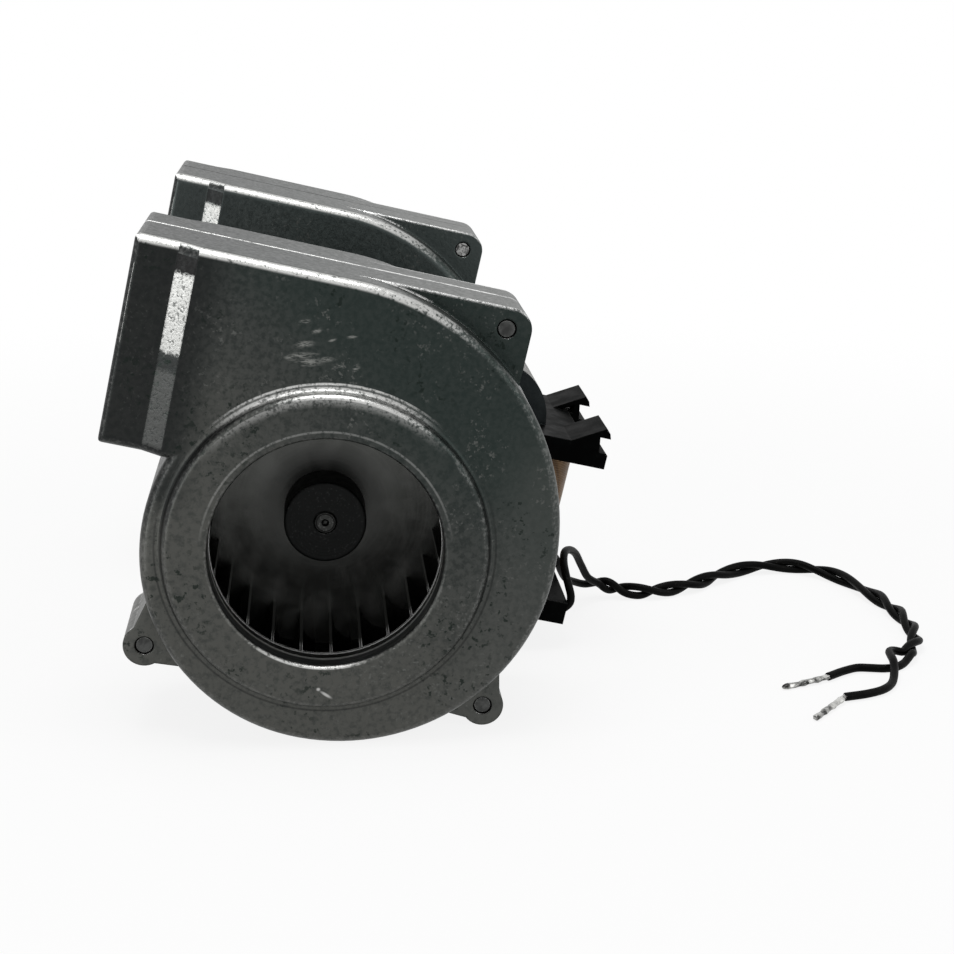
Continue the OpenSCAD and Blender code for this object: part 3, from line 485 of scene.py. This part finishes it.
class Casting(Finish):
    """Dark mottled die-cast metal, painted bright as highlights and speckled along its rounded edges and ramps, with
    painted light and shade on its faces.
    """

    def __init__(self):
        super().__init__("casting", Metallic=0.92)
        self.broad = self.noise(45, 3, 0.6)
        self.mottle = self.noise(850, 5, 0.62, 0.1)
        self.speckle = self.noise(1700, 3, 0.6)
        self.spots = self.plus(self.speckle, self.mottle)
        self.spotted = self.span(self.spots, 0.74, 1.0, 0.25, 1)
        self.nx, self.ny, self.nz = self.towards(0), self.facing(1), self.towards(2)
        self.flat_top = self.span(self.nz, 0.6, 0.8)
        # Distances from the shaft, the ring's edge and the bore
        self.radius, _ = self.round_the_shaft()
        self.from_ring = self.minus(self.radius, RING_R)
        self.from_bore = self.minus(self.radius, BORE_R)
        self.over_shaft = self.height_over_shaft(UP)
        self.over_share = self.math("DIVIDE", self.over_shaft, self.radius)
        self.outward = self.height_over_shaft(SCROLL_OUT)
        ragged = self.times(self.minus(self.speckle, 0.5), 2.5)
        self.up = self.plus(self.height_over_shaft(SCROLL_UP), ragged)
        # Front or rear scroll, and the distance from its parting plane
        self.y = self.along(1)
        self.behind = self.span(self.y, -10, 10)
        self.in_front = self.minus(1.0, self.behind)
        parting = self.span(self.y, -10, 10, FRONT_PARTING, REAR_PARTING)
        self.from_middle = self.math("ABSOLUTE", self.y)
        self.from_parting = self.math("ABSOLUTE", self.minus(self.from_middle, parting))
        self.seam = self.times(self.span(self.from_parting, 0.7, 0.5), self.flat_top)
        self.off_rear_seam = self.off(self.times(self.behind, self.span(self.from_parting, 2, 1.6)))
        # Parts of a casting. The ramps beside the collar are told by their slant
        self.foot = self.band(self.from_ring, -0.1, 0.1, 1.6, 1.8)
        self.bore = self.times(self.span(self.from_bore, 1.6, 0.6), self.span(self.ny, 0.5, 0.3))
        self.ramp = self.times(self.band(self.ny, 0.87, 0.88, 0.905, 0.915), self.span(self.facing(0), 0.42, 0.43))
        self.off_ramp = self.minus(1.0, self.ramp)
        self.collar = self.times(self.span(self.outward, -26, -36), self.span(self.over_shaft, 6, 14))
        self.off_collar = self.off(self.collar, 0.3)

    def wear_and_highlight(self):
        """Rounded edges that face up, painted bright as highlights and broken into worn specks, and painted
        highlights round the inlet ring.
        """
        # How steeply an edge's side faces up or to the right, whatever the part of its rounding: the highlight is
        # painted where it faces up
        flatness = self.math("MAXIMUM", self.minus(1.0, self.times(self.ny, self.ny)), 0.0001)
        slant = self.math("SQRT", flatness)
        rise = self.math("DIVIDE", self.plus(self.times(self.nz, 0.98), self.times(self.nx, 0.2)), slant)
        to_right = self.math("DIVIDE", self.nx, slant)
        on_top = self.most(self.span(rise, 0.82, 1.0, 0.08, 1), self.span(to_right, 0.5, 0.95, 0, 0.15))
        rounded = self.times(self.band(self.ny, 0.1, 0.4, 0.9, 0.985), on_top, self.off(self.foot))
        # The ring's outer side, painted bright as a highlight where it faces up
        brink = self.times(self.band(self.from_ring, -0.5, -0.2, 0.9, 1.1), self.span(self.ny, 0.45, 0.2), on_top)
        broken = self.span(self.plus(self.spots, self.times(on_top, 0.35)), 0.98, 1.3, 0.12, 1)
        edges = self.times(self.most(rounded, brink), self.off_ramp, broken, self.off_rear_seam)
        # Painted highlights on the upper part of the inlet ring, on its face inside its edge and on its foot above,
        # and a painted light line on the upper part of the thin lip round the bore
        ring_side = self.times(self.band(self.from_ring, -2.8, -1, -0.4, 0), self.span(self.ny, 0.9, 0.96),
                               self.span(self.over_share, 0.6, 0.97, 0, 0.4))
        foot_gap = self.band(self.from_ring, 0.8, 1, 1.2, 1.4)
        foot_top = self.times(self.foot, self.span(self.over_share, 0.72, 0.97), self.off(foot_gap, 0.2))
        ring_highlight = self.times(self.most(ring_side, foot_top), self.span(self.spots, 0.72, 1.1, 0.2, 1))
        lip = self.times(self.band(self.from_bore, 1.3, 1.5, 1.7, 1.9), self.span(self.over_shaft, 0, 16, 0, 0.22))
        return self.most(edges, self.times(lip, self.spotted), ring_highlight)

    def ramp_reflection(self):
        """The ramps beside the collar: a painted reflection, bright and speckled above and dull below."""
        bright = self.band(self.up, 32.5, 33.5, 48.4, 49.2)
        dull = self.span(self.up, 29.8, 28.8, 0, 0.13)
        return self.times(self.ramp, self.most(bright, dull), self.spotted)

    def sharp_edge_highlight(self):
        """Painted highlights on sharp edges on top: along the front scroll's seam, and on the edges of the flat tops
        and corner plates.
        """
        line = self.times(self.seam, self.in_front, self.span(self.noise(150, 2), 0.42, 0.46))
        beside_seam = self.band(self.from_parting, 0.6, 0.8, 2, 2.4)
        edge = self.times(self.edges(1.6, upward=True), self.flat_top, self.span(self.ny, 0.2, 0.1),
                          self.off(self.bore), self.off_rear_seam, self.off(beside_seam, 0.1))
        face_edge = self.times(self.edges(1.1, upward=True), self.span(self.ny, 0.8, 0.95),
                               self.span(self.up, TOP_UP - 2.2, TOP_UP - 1.8))
        return self.times(self.most(line, edge, face_edge), self.span(self.speckle, 0.36, 0.5, 0.3, 1))

    def plain_faces(self):
        """The dark mottled tone of the faces, with painted reflection and light: darker and greener towards the
        upper right, paler towards the lower left and at the far sides, lighter on the top faces; and darker collar
        faces, lighter rear faces, flecks, blots and a dark seam.
        """
        tone = self.mix(self.span(self.mottle, 0.36, 0.64), (0.021, 0.025, 0.024), (0.042, 0.046, 0.044))
        # Painted reflection: darker and greener towards the upper right, paler towards the lower left
        right = self.plus(self.height_over_shaft(UP_RIGHT), self.times(self.broad, 20))
        lower = self.plus(self.height_over_shaft(-UP_RIGHT), self.times(self.broad, 16))
        pale_reflection = self.times(self.span(lower, -30, 26), self.span(self.mottle, 0.3, 0.6, 0.5, 1), self.off_collar)
        dark_collar = self.times(self.collar, self.span(self.ny, 0.6, 0.8), 0.75)
        rear_faces = self.times(self.span(self.y, 0, 10), self.span(self.ny, 0.8, 0.95), 0.5)
        flecks = self.times(self.span(self.noise(1250, 3, 0.6), 0.57, 0.68),
                            self.span(self.noise(120, 3), 0.46, 0.62))
        # Painted reflection: lighter at the far left, low down, and at the far right
        left_reflection = self.times(self.span(self.outward, -30, -40), self.span(self.over_shaft, 8, 0), 0.6)
        right_reflection = self.times(self.span(self.outward, 26, 40), self.span(self.over_shaft, 30, 10), 0.3)
        blots = self.times(self.span(self.noise(640, 4, 0.65), 0.56, 0.63),
                           self.span(self.noise(70, 2), 0.5, 0.62))
        blotted = self.most(self.in_front, self.span(self.y, 55, 65))
        # Painted light: faces that look up are lighter, except in the bore
        over = self.times(self.span(self.nz, 0.7, 0.9), self.minus(1.0, self.bore))
        dark_seam = self.times(self.seam, self.behind, self.span(self.noise(60, 2), 0.42, 0.5, 0.2, 0.9))
        return self.layered(
            tone,
            # Painted reflection, darker and greener towards the upper right, then paler towards the lower left
            (self.span(right, 26, 46, 0, 0.6), (0.019, 0.029, 0.026)),
            (pale_reflection, (0.073, 0.074, 0.068)),
            (dark_collar, (0.012, 0.013, 0.013)),
            (rear_faces, (0.078, 0.092, 0.09)),
            (self.times(flecks, self.off_collar, 0.65), (0.11, 0.113, 0.107)),
            (left_reflection, (0.115, 0.116, 0.108)),
            (right_reflection, (0.09, 0.093, 0.087)),
            (self.times(blots, blotted, 0.8), (0.008, 0.013, 0.0105)),
            # Painted light on the top faces, stronger towards the right, then toned down a little
            (self.times(over, self.span(self.outward, -45, 30, 0, 0.6)), (0.17, 0.174, 0.166)),
            (self.times(over, 0.2), (0.01, 0.011, 0.0105)),
            (dark_seam, (0.006, 0.006, 0.006)))

    def shade_and_bore_light(self):
        """Layers of painted shade on the collar's left edge, on the lines of the ring's foot and on the ramp's head,
        and the bore's wall with painted highlight streaks and a painted light line at its inner end.
        """
        # Painted shade on the collar's left edge, where a lamp's reflection would show
        left_edge = self.times(self.span(self.nx, -0.3, -0.55), self.off_ramp,
                               self.span(self.over_shaft, 0, 10, 0.2, 0.85))
        # Painted shade on lines at either edge of the ring's foot, darker lower down
        foot_lines = self.times(self.foot, self.most(self.span(self.from_ring, 0.6, 0.3),
                                                     self.span(self.from_ring, 1.2, 1.4)))
        # Painted shade on the ramp's head, as a dark reflection
        ramp_head = self.times(self.ramp, self.span(self.up, 48.2, 49.4), 0.85)
        # The bore's wall with painted highlight streaks, and a painted light line at its inner end
        highlight_streaks = self.span(self.noise(1, 3, 0.6, 0, self.stretched((90, 2600, 90))), 0.5, 0.64)
        wall = self.mix(highlight_streaks, (0.03, 0.033, 0.033), (0.12, 0.124, 0.12))
        inner_end = self.span(self.from_middle, BORE_END + 1.2, BORE_END + 0.8)
        return ((left_edge, (0.009, 0.01, 0.01)),
                (self.times(foot_lines, self.span(self.over_share, 0.6, -0.2, 0, 0.5)), (0.012, 0.013, 0.013)),
                (ramp_head, (0.008, 0.008, 0.008)),
                (self.bore, self.mix(inner_end, wall, (0.5, 0.505, 0.49))))

    def knocks(self):
        """Layers for rubbed and knocked spots."""
        smears = self.span(self.noise(1, 3, 0.65, 0, self.stretched((700, 700, 2600))), 0.38, 0.62)
        return ((self.times(self.strokes(RUBBED, FRONT_FACE_Y), smears), (0.19, 0.194, 0.183)),
                (self.strokes(NICKS, RING_FACE_Y), (0.42, 0.42, 0.41)))


def casting():
    """The castings' plain faces, with painted shade, knocks, the ramps' painted reflection and painted edge
    highlights laid over them.
    """
    f = Casting()
    wear_and_highlight, ramp_reflection, sharp_edge_highlight = f.wear_and_highlight(), f.ramp_reflection(), f.sharp_edge_highlight()
    # Over the faces: painted shade, knocks, the ramps' painted reflection, and painted highlights on rounded and
    # sharp edges
    tone = f.layered(f.plain_faces(), *f.shade_and_bore_light(), *f.knocks(), (ramp_reflection, (0.21, 0.212, 0.205)),
                     (wear_and_highlight, (0.5, 0.502, 0.49)), (sharp_edge_highlight, (0.85, 0.85, 0.84)))
    rough = f.plus(f.span(f.mottle, 0.3, 0.7, 0.3, 0.42), f.times(f.speckle, 0.1))
    f.give(Base_Color=tone, Roughness=f.minus(rough, f.times(f.most(wear_and_highlight, sharp_edge_highlight, ramp_reflection), 0.12)))
    f.bump((f.broad, 0.1, 0.6), (f.mottle, 0.2, 0.15), (f.speckle, 0.3, 0.1), (f.noise(5200, 2, 0.5), 0.25, 0.04),
           soft_edge=0.6)
    return f.material


BRIGHTEST = 0.8


def lighter(colour, by):
    return tuple(min(BRIGHTEST, by * c) for c in colour)


def plated(name, dark, light, rough, metallic=0.95, edge_light=None):
    """Plain metal with a mottled film, fine grain and bright edges."""
    f = Finish(name, Metallic=metallic)
    film = f.noise(420, 4, 0.6, 0.4)
    grain = f.noise(4200, 2, 0.5)
    wear_and_highlight = f.times(f.edges(0.4), f.span(grain, 0.35, 0.6, 0.3, 1))
    lines = f.scratches(3600, 200, (0.6, 0.2, 0.3), 0.66, 0.74)
    tone = f.layered(f.mix(f.span(film, 0.35, 0.68), dark, light),
                     (wear_and_highlight, edge_light or lighter(light, 1.5)), (f.times(lines, 0.5), lighter(light, 1.3)))
    f.give(Base_Color=tone, Roughness=f.span(film, 0.3, 0.7, rough - 0.06, rough + 0.1))
    f.bump((film, 0.15, 0.2), (grain, 0.25, 0.04), soft_edge=0.15)
    return f.material


def screw_steel():
    """Dark screw ends towards the inlet, bright heads in the gap between the scrolls."""
    f = Finish("screw_steel", Metallic=0.95)
    film = f.noise(420, 4, 0.6, 0.4)
    grain = f.noise(4200, 2, 0.5)
    rim = f.times(f.edges(0.4), f.span(grain, 0.4, 0.6, 0.1, 0.8))
    inner = f.span(f.math("ABSOLUTE", f.along(1)), 50, 45)
    rubbed = f.times(inner, f.span(f.noise(1500, 3, 0.6), 0.42, 0.58, 0.05, 1))
    tone = f.layered(f.mix(f.span(film, 0.35, 0.68), (0.035, 0.036, 0.035), (0.075, 0.077, 0.075)),
                     (rim, (0.3, 0.302, 0.295)), (rubbed, (0.5, 0.5, 0.49)))
    f.give(Base_Color=tone, Roughness=f.span(film, 0.3, 0.7, 0.28, 0.4))
    f.bump((film, 0.2, 0.2), (grain, 0.25, 0.04), soft_edge=0.25)
    return f.material


SHEET_PITCH = 0.5


def lamination():
    """Stacked sheets: dark faces with a blue-grey oxide, edges with fine grey lines."""
    f = Finish("lamination", Metallic=0.8)
    film = f.noise(260, 4, 0.6, 0.4)
    grain = f.noise(3800, 2)
    side = f.span(f.facing(1), 0.6, 0.3)
    sheet = f.ripples(f.along(1), SHEET_PITCH)
    uneven = f.noise(1, 2, 0.5, 0, f.stretched((120, 2000, 120)))
    face = f.mix(f.span(film, 0.35, 0.7), (0.008, 0.011, 0.012), (0.022, 0.027, 0.028))
    edge = f.mix(f.span(uneven, 0.3, 0.7), (0.11, 0.11, 0.105), (0.3, 0.3, 0.29))
    edge = f.mix(f.span(sheet, -0.9, -0.4, 0.75, 0), edge, (0.03, 0.028, 0.025))
    rust = f.times(f.span(f.noise(700, 4, 0.7), 0.6, 0.75), side, 0.5)
    f.give(Base_Color=f.layered(face, (side, edge), (rust, (0.12, 0.06, 0.03))),
           Roughness=f.span(film, 0.3, 0.7, 0.38, 0.55))
    f.bump((f.times(sheet, side), 0.4, 0.12), (grain, 0.2, 0.04), soft_edge=0.3)
    return f.material


def black_plastic():
    """Black moulded plastic with a fine grain, dusty, with a painted grey highlight along its upward edges."""
    f = Finish("black_plastic", Specular_IOR_Level=0.012)
    cloud = f.noise(180, 4, 0.6)
    grain = f.noise(3000, 3, 0.6)
    dust = f.times(f.span(f.noise(2400, 2), 0.66, 0.74), f.span(cloud, 0.45, 0.65), 0.2)
    # Painted highlight along the upward edges
    rim = f.times(f.edges(0.4, upward=True), 0.5)
    tone = f.layered(f.mix(f.span(cloud, 0.35, 0.7), (0.0006, 0.0007, 0.0007), (0.002, 0.0023, 0.0023)),
                     (dust, (0.1, 0.095, 0.09)), (rim, (0.035, 0.035, 0.034)))
    f.give(Base_Color=tone, Roughness=f.span(cloud, 0.3, 0.7, 0.36, 0.52))
    f.bump((grain, 0.25, 0.05), (cloud, 0.15, 0.2), soft_edge=0.25)
    return f.material


WIRE_PITCH = 0.45
TAPE_WIDTH = 4.5
TAPE_SLOPE = 0.25


def winding_tape():
    """Brown tape over the enamelled turns, which show through as fine ridges."""
    f = Finish("winding_tape", Metallic=0.15, Specular_IOR_Level=0.2)
    cloud = f.noise(160, 4, 0.6, 0.5)
    y, z = f.along(1), f.along(2)
    turns = f.ripples(f.plus(z, f.times(cloud, 0.6)), WIRE_PITCH)
    laps = f.math("PINGPONG", f.plus(y, f.times(z, TAPE_SLOPE)), TAPE_WIDTH)
    tone = f.layered(f.mix(f.span(cloud, 0.3, 0.7), (0.11, 0.062, 0.026), (0.21, 0.125, 0.06)),
                     (f.span(turns, -1, -0.2, 0.5, 0), (0.045, 0.024, 0.01)),
                     (f.span(laps, 0, 0.4, 0.6, 0), (0.05, 0.027, 0.012)))
    f.give(Base_Color=tone, Roughness=f.span(cloud, 0.3, 0.7, 0.34, 0.5))
    f.bump((turns, 0.35, 0.12), (f.span(laps, 0, 0.6), 0.3, 0.1), (cloud, 0.3, 0.4), soft_edge=0.4)
    return f.material


def wheel_sheet():
    """Satin zinc-plated sheet with faint spun rings and a dull film, with painted shade on the blades and round the
    hub, and a painted highlight along the rims of the blades.
    """
    f = Finish("wheel_sheet", Metallic=0.95, Anisotropic=0.92, Anisotropic_Rotation=0.25)
    f.give(Tangent=f.add("ShaderNodeTangent", direction_type="RADIAL", axis="Y").outputs["Tangent"])
    radius, angle = f.round_the_shaft()
    rings = f.add("ShaderNodeCombineXYZ")
    for socket, value in zip(rings.inputs, (f.times(radius, 2.4), f.times(f.math("SINE", angle), 0.8),
                                            f.times(f.math("COSINE", angle), 0.8))):
        f.feed(socket, value)
    spun = f.noise(1, 3, 0.6, 0, rings.outputs[0])
    film = f.noise(170, 5, 0.6, 0.5)
    spots = f.noise(1300, 3, 0.6)
    # The blades get painted shade towards the plate, and a painted highlight on their rims towards the inlet
    forward = f.math("ABSOLUTE", f.along(1))
    blade = f.times(f.span(f.facing(1), 0.6, 0.3), 0.9)
    blade_shade = f.mix(f.span(forward, 54, 66), (0.001, 0.001, 0.001), (0.014, 0.0145, 0.0145))
    rim = f.times(f.edges(0.4), f.span(forward, 62.5, 68), f.span(radius, 31, 30))
    tone = f.layered(f.mix(f.span(film, 0.35, 0.68), (0.062, 0.064, 0.06), (0.092, 0.094, 0.089)),
                     (f.span(spun, 0.5, 0.75, 0, 0.25), (0.13, 0.13, 0.126)),
                     (f.span(spots, 0.62, 0.74, 0, 0.4), (0.04, 0.042, 0.04)),
                     (blade, blade_shade),
                     # Painted shade round the hub
                     (f.span(radius, 17.5, 11, 0, 0.6), (0.012, 0.012, 0.012)),
                     (rim, (0.85, 0.85, 0.84)))
    f.give(Base_Color=tone, Metallic=f.span(rim, 0, 1, 0.95, 0),
           Roughness=f.plus(f.span(film, 0.3, 0.7, 0.17, 0.22), f.times(spun, 0.05)))
    f.bump((spun, 0.12, 0.04), (spots, 0.12, 0.05))
    return f.material


LATHE_PITCH = 0.7


def hub_black():
    """Blackened turned steel, speckled, with rings from the lathe and a painted highlight on its upward edges."""
    f = Finish("hub_black", Metallic=0.3, Specular_IOR_Level=0.15)
    radius, _ = f.round_the_shaft()
    turned = f.ripples(radius, LATHE_PITCH)
    cloud = f.noise(420, 4, 0.65)
    speckle = f.noise(2100, 3, 0.6)
    # Painted highlight on the upward edges, broken by the speckle
    rim = f.times(f.edges(0.4, upward=True), f.span(speckle, 0.42, 0.6))
    tone = f.layered(f.mix(f.span(cloud, 0.35, 0.68), (0.002, 0.0024, 0.0024), (0.006, 0.0068, 0.0064)),
                     (f.span(speckle, 0.58, 0.7, 0, 0.5), (0.04, 0.042, 0.041)), (rim, (0.1, 0.102, 0.1)))
    f.give(Base_Color=tone, Roughness=f.span(cloud, 0.3, 0.7, 0.4, 0.58))
    f.bump((turned, 0.12, 0.08), (speckle, 0.35, 0.12), soft_edge=0.2)
    return f.material


def shaft_steel():
    """Ground steel, dulled, with a turned groove in its end, painted dark as shade."""
    f = Finish("shaft_steel", Metallic=0.9)
    radius, _ = f.round_the_shaft()
    speckle = f.noise(3000, 3, 0.6)
    film = f.noise(500, 4, 0.6)
    # The groove, with painted shade
    groove = f.band(radius, 1.65, 1.8, 1.95, 2.1)
    tone = f.layered(f.mix(f.span(film, 0.35, 0.68), (0.02, 0.021, 0.02), (0.045, 0.046, 0.044)),
                     (f.span(speckle, 0.55, 0.7, 0, 0.7), (0.13, 0.132, 0.128)), (groove, (0.004, 0.004, 0.004)))
    f.give(Base_Color=tone, Roughness=f.span(film, 0.3, 0.7, 0.28, 0.4))
    f.bump((groove, -0.4, 0.1), (speckle, 0.3, 0.08), soft_edge=0.15)
    return f.material


def lead_insulation():
    """Black soft plastic, slightly dusty, with a fine grain."""
    f = Finish("lead_insulation", Specular_IOR_Level=0.04)
    cloud = f.noise(140, 3, 0.6)
    grain = f.noise(2600, 3, 0.6)
    dust = f.times(f.span(f.noise(1900, 2), 0.62, 0.74), f.span(cloud, 0.42, 0.6), 0.25)
    tone = f.layered(f.mix(f.span(cloud, 0.35, 0.7), (0.0012, 0.0013, 0.0013), (0.004, 0.004, 0.0038)),
                     (dust, (0.06, 0.056, 0.052)))
    f.give(Base_Color=tone, Roughness=f.span(grain, 0.3, 0.7, 0.34, 0.5))
    f.bump((grain, 0.22, 0.06), (cloud, 0.2, 0.2))
    return f.material


def felt():
    """Oil-soaked felt: matted fibres, darker where the oil stands."""
    f = Finish("felt", Roughness=0.95)
    oil = f.noise(260, 3, 0.6)
    fibre = f.noise(1, 4, 0.7, 1.2, f.stretched((2600, 900, 2600)))
    f.give(Base_Color=f.layered(f.mix(f.span(oil, 0.35, 0.68), (0.12, 0.09, 0.05), (0.4, 0.33, 0.22)),
                                (f.span(fibre, 0.5, 0.75, 0, 0.6), (0.55, 0.47, 0.33))))
    f.bump((fibre, 0.7, 0.3))
    return f.material


FINISHES = {
    "casting": casting(),
    "screw_steel": screw_steel(),
    "lamination": lamination(),
    "copper": plated("copper", (0.3, 0.13, 0.06), (0.62, 0.31, 0.17), 0.34, edge_light=(0.75, 0.45, 0.28)),
    "black_plastic": black_plastic(),
    "winding_tape": winding_tape(),
    "tinned_metal": plated("tinned_metal", (0.015, 0.015, 0.014), (0.6, 0.6, 0.58), 0.2,
                           edge_light=(0.3, 0.3, 0.29)),
    "bridge_casting": plated("bridge_casting", (0.26, 0.26, 0.255), (0.46, 0.46, 0.45), 0.42),
    "bronze": plated("bronze", (0.24, 0.15, 0.05), (0.46, 0.32, 0.14), 0.36),
    "felt": felt(),
    "spring_steel": plated("spring_steel", (0.24, 0.24, 0.24), (0.42, 0.42, 0.42), 0.3),
    "shaft_steel": shaft_steel(),
    "cast_aluminium": plated("cast_aluminium", (0.36, 0.36, 0.355), (0.58, 0.58, 0.57), 0.42),
    "white_plastic": plated("white_plastic", (0.6, 0.57, 0.5), (0.76, 0.74, 0.68), 0.42, metallic=0),
    "wheel_sheet": wheel_sheet(),
    "hub_black": hub_black(),
    "lead_insulation": lead_insulation(),
}


def dress(obj, slot):
    obj.data.materials.clear()
    obj.data.materials.append(FINISHES[slot])


for subpart in frame["record"]["subparts"]:
    dress(frame["nodes"][subpart["node"]], subpart["material_slot"])
for lead in (lead_a, lead_b):
    dress(lead, "lead_insulation")
for tip in (tip_a, tip_b):
    dress(tip, "tinned_metal")


# Floor, light and background
AMBIENT = 0.4
FLOOR_HALF = 30
FLOOR_COLOUR = (0.82, 0.82, 0.82, 1)
# Share of the floor that shows as plain white near the object, and where it becomes all of it
FLOOR_WHITE = 0.86
FLOOR_FADE = (0.1, 0.45)
LAMPS = (  # name, place, what it points at, width, height and watts
    ("overhead", (-0.05, -0.1, 0.85), (0, 0, 0.05), 0.5, 0.5, 4.2),
    ("left_front", (-0.785, -0.58, 0.2), (-0.04, -0.075, 0.09), 0.3, 0.28, 2.2),
    ("right", (0.8, -0.35, 0.45), (0, 0, 0.06), 0.4, 0.5, 1.2))


def seen_directly(tree):
    """1 on rays from the camera and in reflections, where the background shows white."""
    path = tree.nodes.new("ShaderNodeLightPath")
    last = path.outputs["Is Camera Ray"]
    for other in ("Is Glossy Ray", "Is Transmission Ray"):
        most = tree.nodes.new("ShaderNodeMath")
        most.operation = "MAXIMUM"
        tree.links.new(last, most.inputs[0])
        tree.links.new(path.outputs[other], most.inputs[1])
        last = most.outputs[0]
    return last


def make_world():
    world = bpy.data.worlds.new("studio")
    world.use_nodes = True
    tree = world.node_tree
    tree.nodes.clear()
    mix = tree.nodes.new("ShaderNodeMixShader")
    tree.links.new(seen_directly(tree), mix.inputs[0])
    for socket, strength in ((1, AMBIENT), (2, 1.0)):
        background = tree.nodes.new("ShaderNodeBackground")
        background.inputs["Color"].default_value = (1, 1, 1, 1)
        background.inputs["Strength"].default_value = strength
        tree.links.new(background.outputs[0], mix.inputs[socket])
    out = tree.nodes.new("ShaderNodeOutputWorld")
    tree.links.new(mix.outputs[0], out.inputs["Surface"])
    scene.world = world


def floor_paper():
    """Pale paper that takes the object's shadow and fades to plain white away from it."""
    material = bpy.data.materials.new("floor")
    material.use_nodes = True
    tree = material.node_tree
    tree.nodes.clear()
    paper = tree.nodes.new("ShaderNodeBsdfDiffuse")
    paper.inputs["Color"].default_value = FLOOR_COLOUR
    white = tree.nodes.new("ShaderNodeEmission")
    white.inputs["Strength"].default_value = 1
    place = tree.nodes.new("ShaderNodeTexCoord")
    away = tree.nodes.new("ShaderNodeVectorMath")
    away.operation = "LENGTH"
    tree.links.new(place.outputs["Object"], away.inputs[0])
    whiter = tree.nodes.new("ShaderNodeMapRange")
    whiter.interpolation_type = "SMOOTHSTEP"
    tree.links.new(away.outputs["Value"], whiter.inputs["Value"])
    for socket, number in zip(("From Min", "From Max", "To Min", "To Max"), (*FLOOR_FADE, FLOOR_WHITE, 1)):
        whiter.inputs[socket].default_value = number
    share = tree.nodes.new("ShaderNodeMath")
    share.operation = "MULTIPLY"
    tree.links.new(seen_directly(tree), share.inputs[0])
    tree.links.new(whiter.outputs["Result"], share.inputs[1])
    mix = tree.nodes.new("ShaderNodeMixShader")
    tree.links.new(share.outputs[0], mix.inputs[0])
    tree.links.new(paper.outputs[0], mix.inputs[1])
    tree.links.new(white.outputs[0], mix.inputs[2])
    out = tree.nodes.new("ShaderNodeOutputMaterial")
    tree.links.new(mix.outputs[0], out.inputs["Surface"])
    return material


def make_floor(half):
    mesh = bpy.data.meshes.new("floor")
    mesh.from_pydata([(-half, -half, 0), (half, -half, 0), (half, half, 0), (-half, half, 0)], [], [(0, 1, 2, 3)])
    mesh.materials.append(floor_paper())
    floor = bpy.data.objects.new("floor", mesh)
    scene.collection.objects.link(floor)


def soft_box(name, at, towards, wide, high, watts):
    """A soft light panel."""
    light = bpy.data.lights.new(name, "AREA")
    light.shape = "RECTANGLE"
    light.size = wide
    light.size_y = high
    light.energy = watts
    lamp = bpy.data.objects.new(name, light)
    lamp.location = at
    lamp.rotation_euler = (Vector(towards) - Vector(at)).to_track_quat("-Z", "Y").to_euler()
    scene.collection.objects.link(lamp)


make_world()
make_floor(FLOOR_HALF)
for lamp_facts in LAMPS:
    soft_box(*lamp_facts)

bpy.context.view_layer.update()
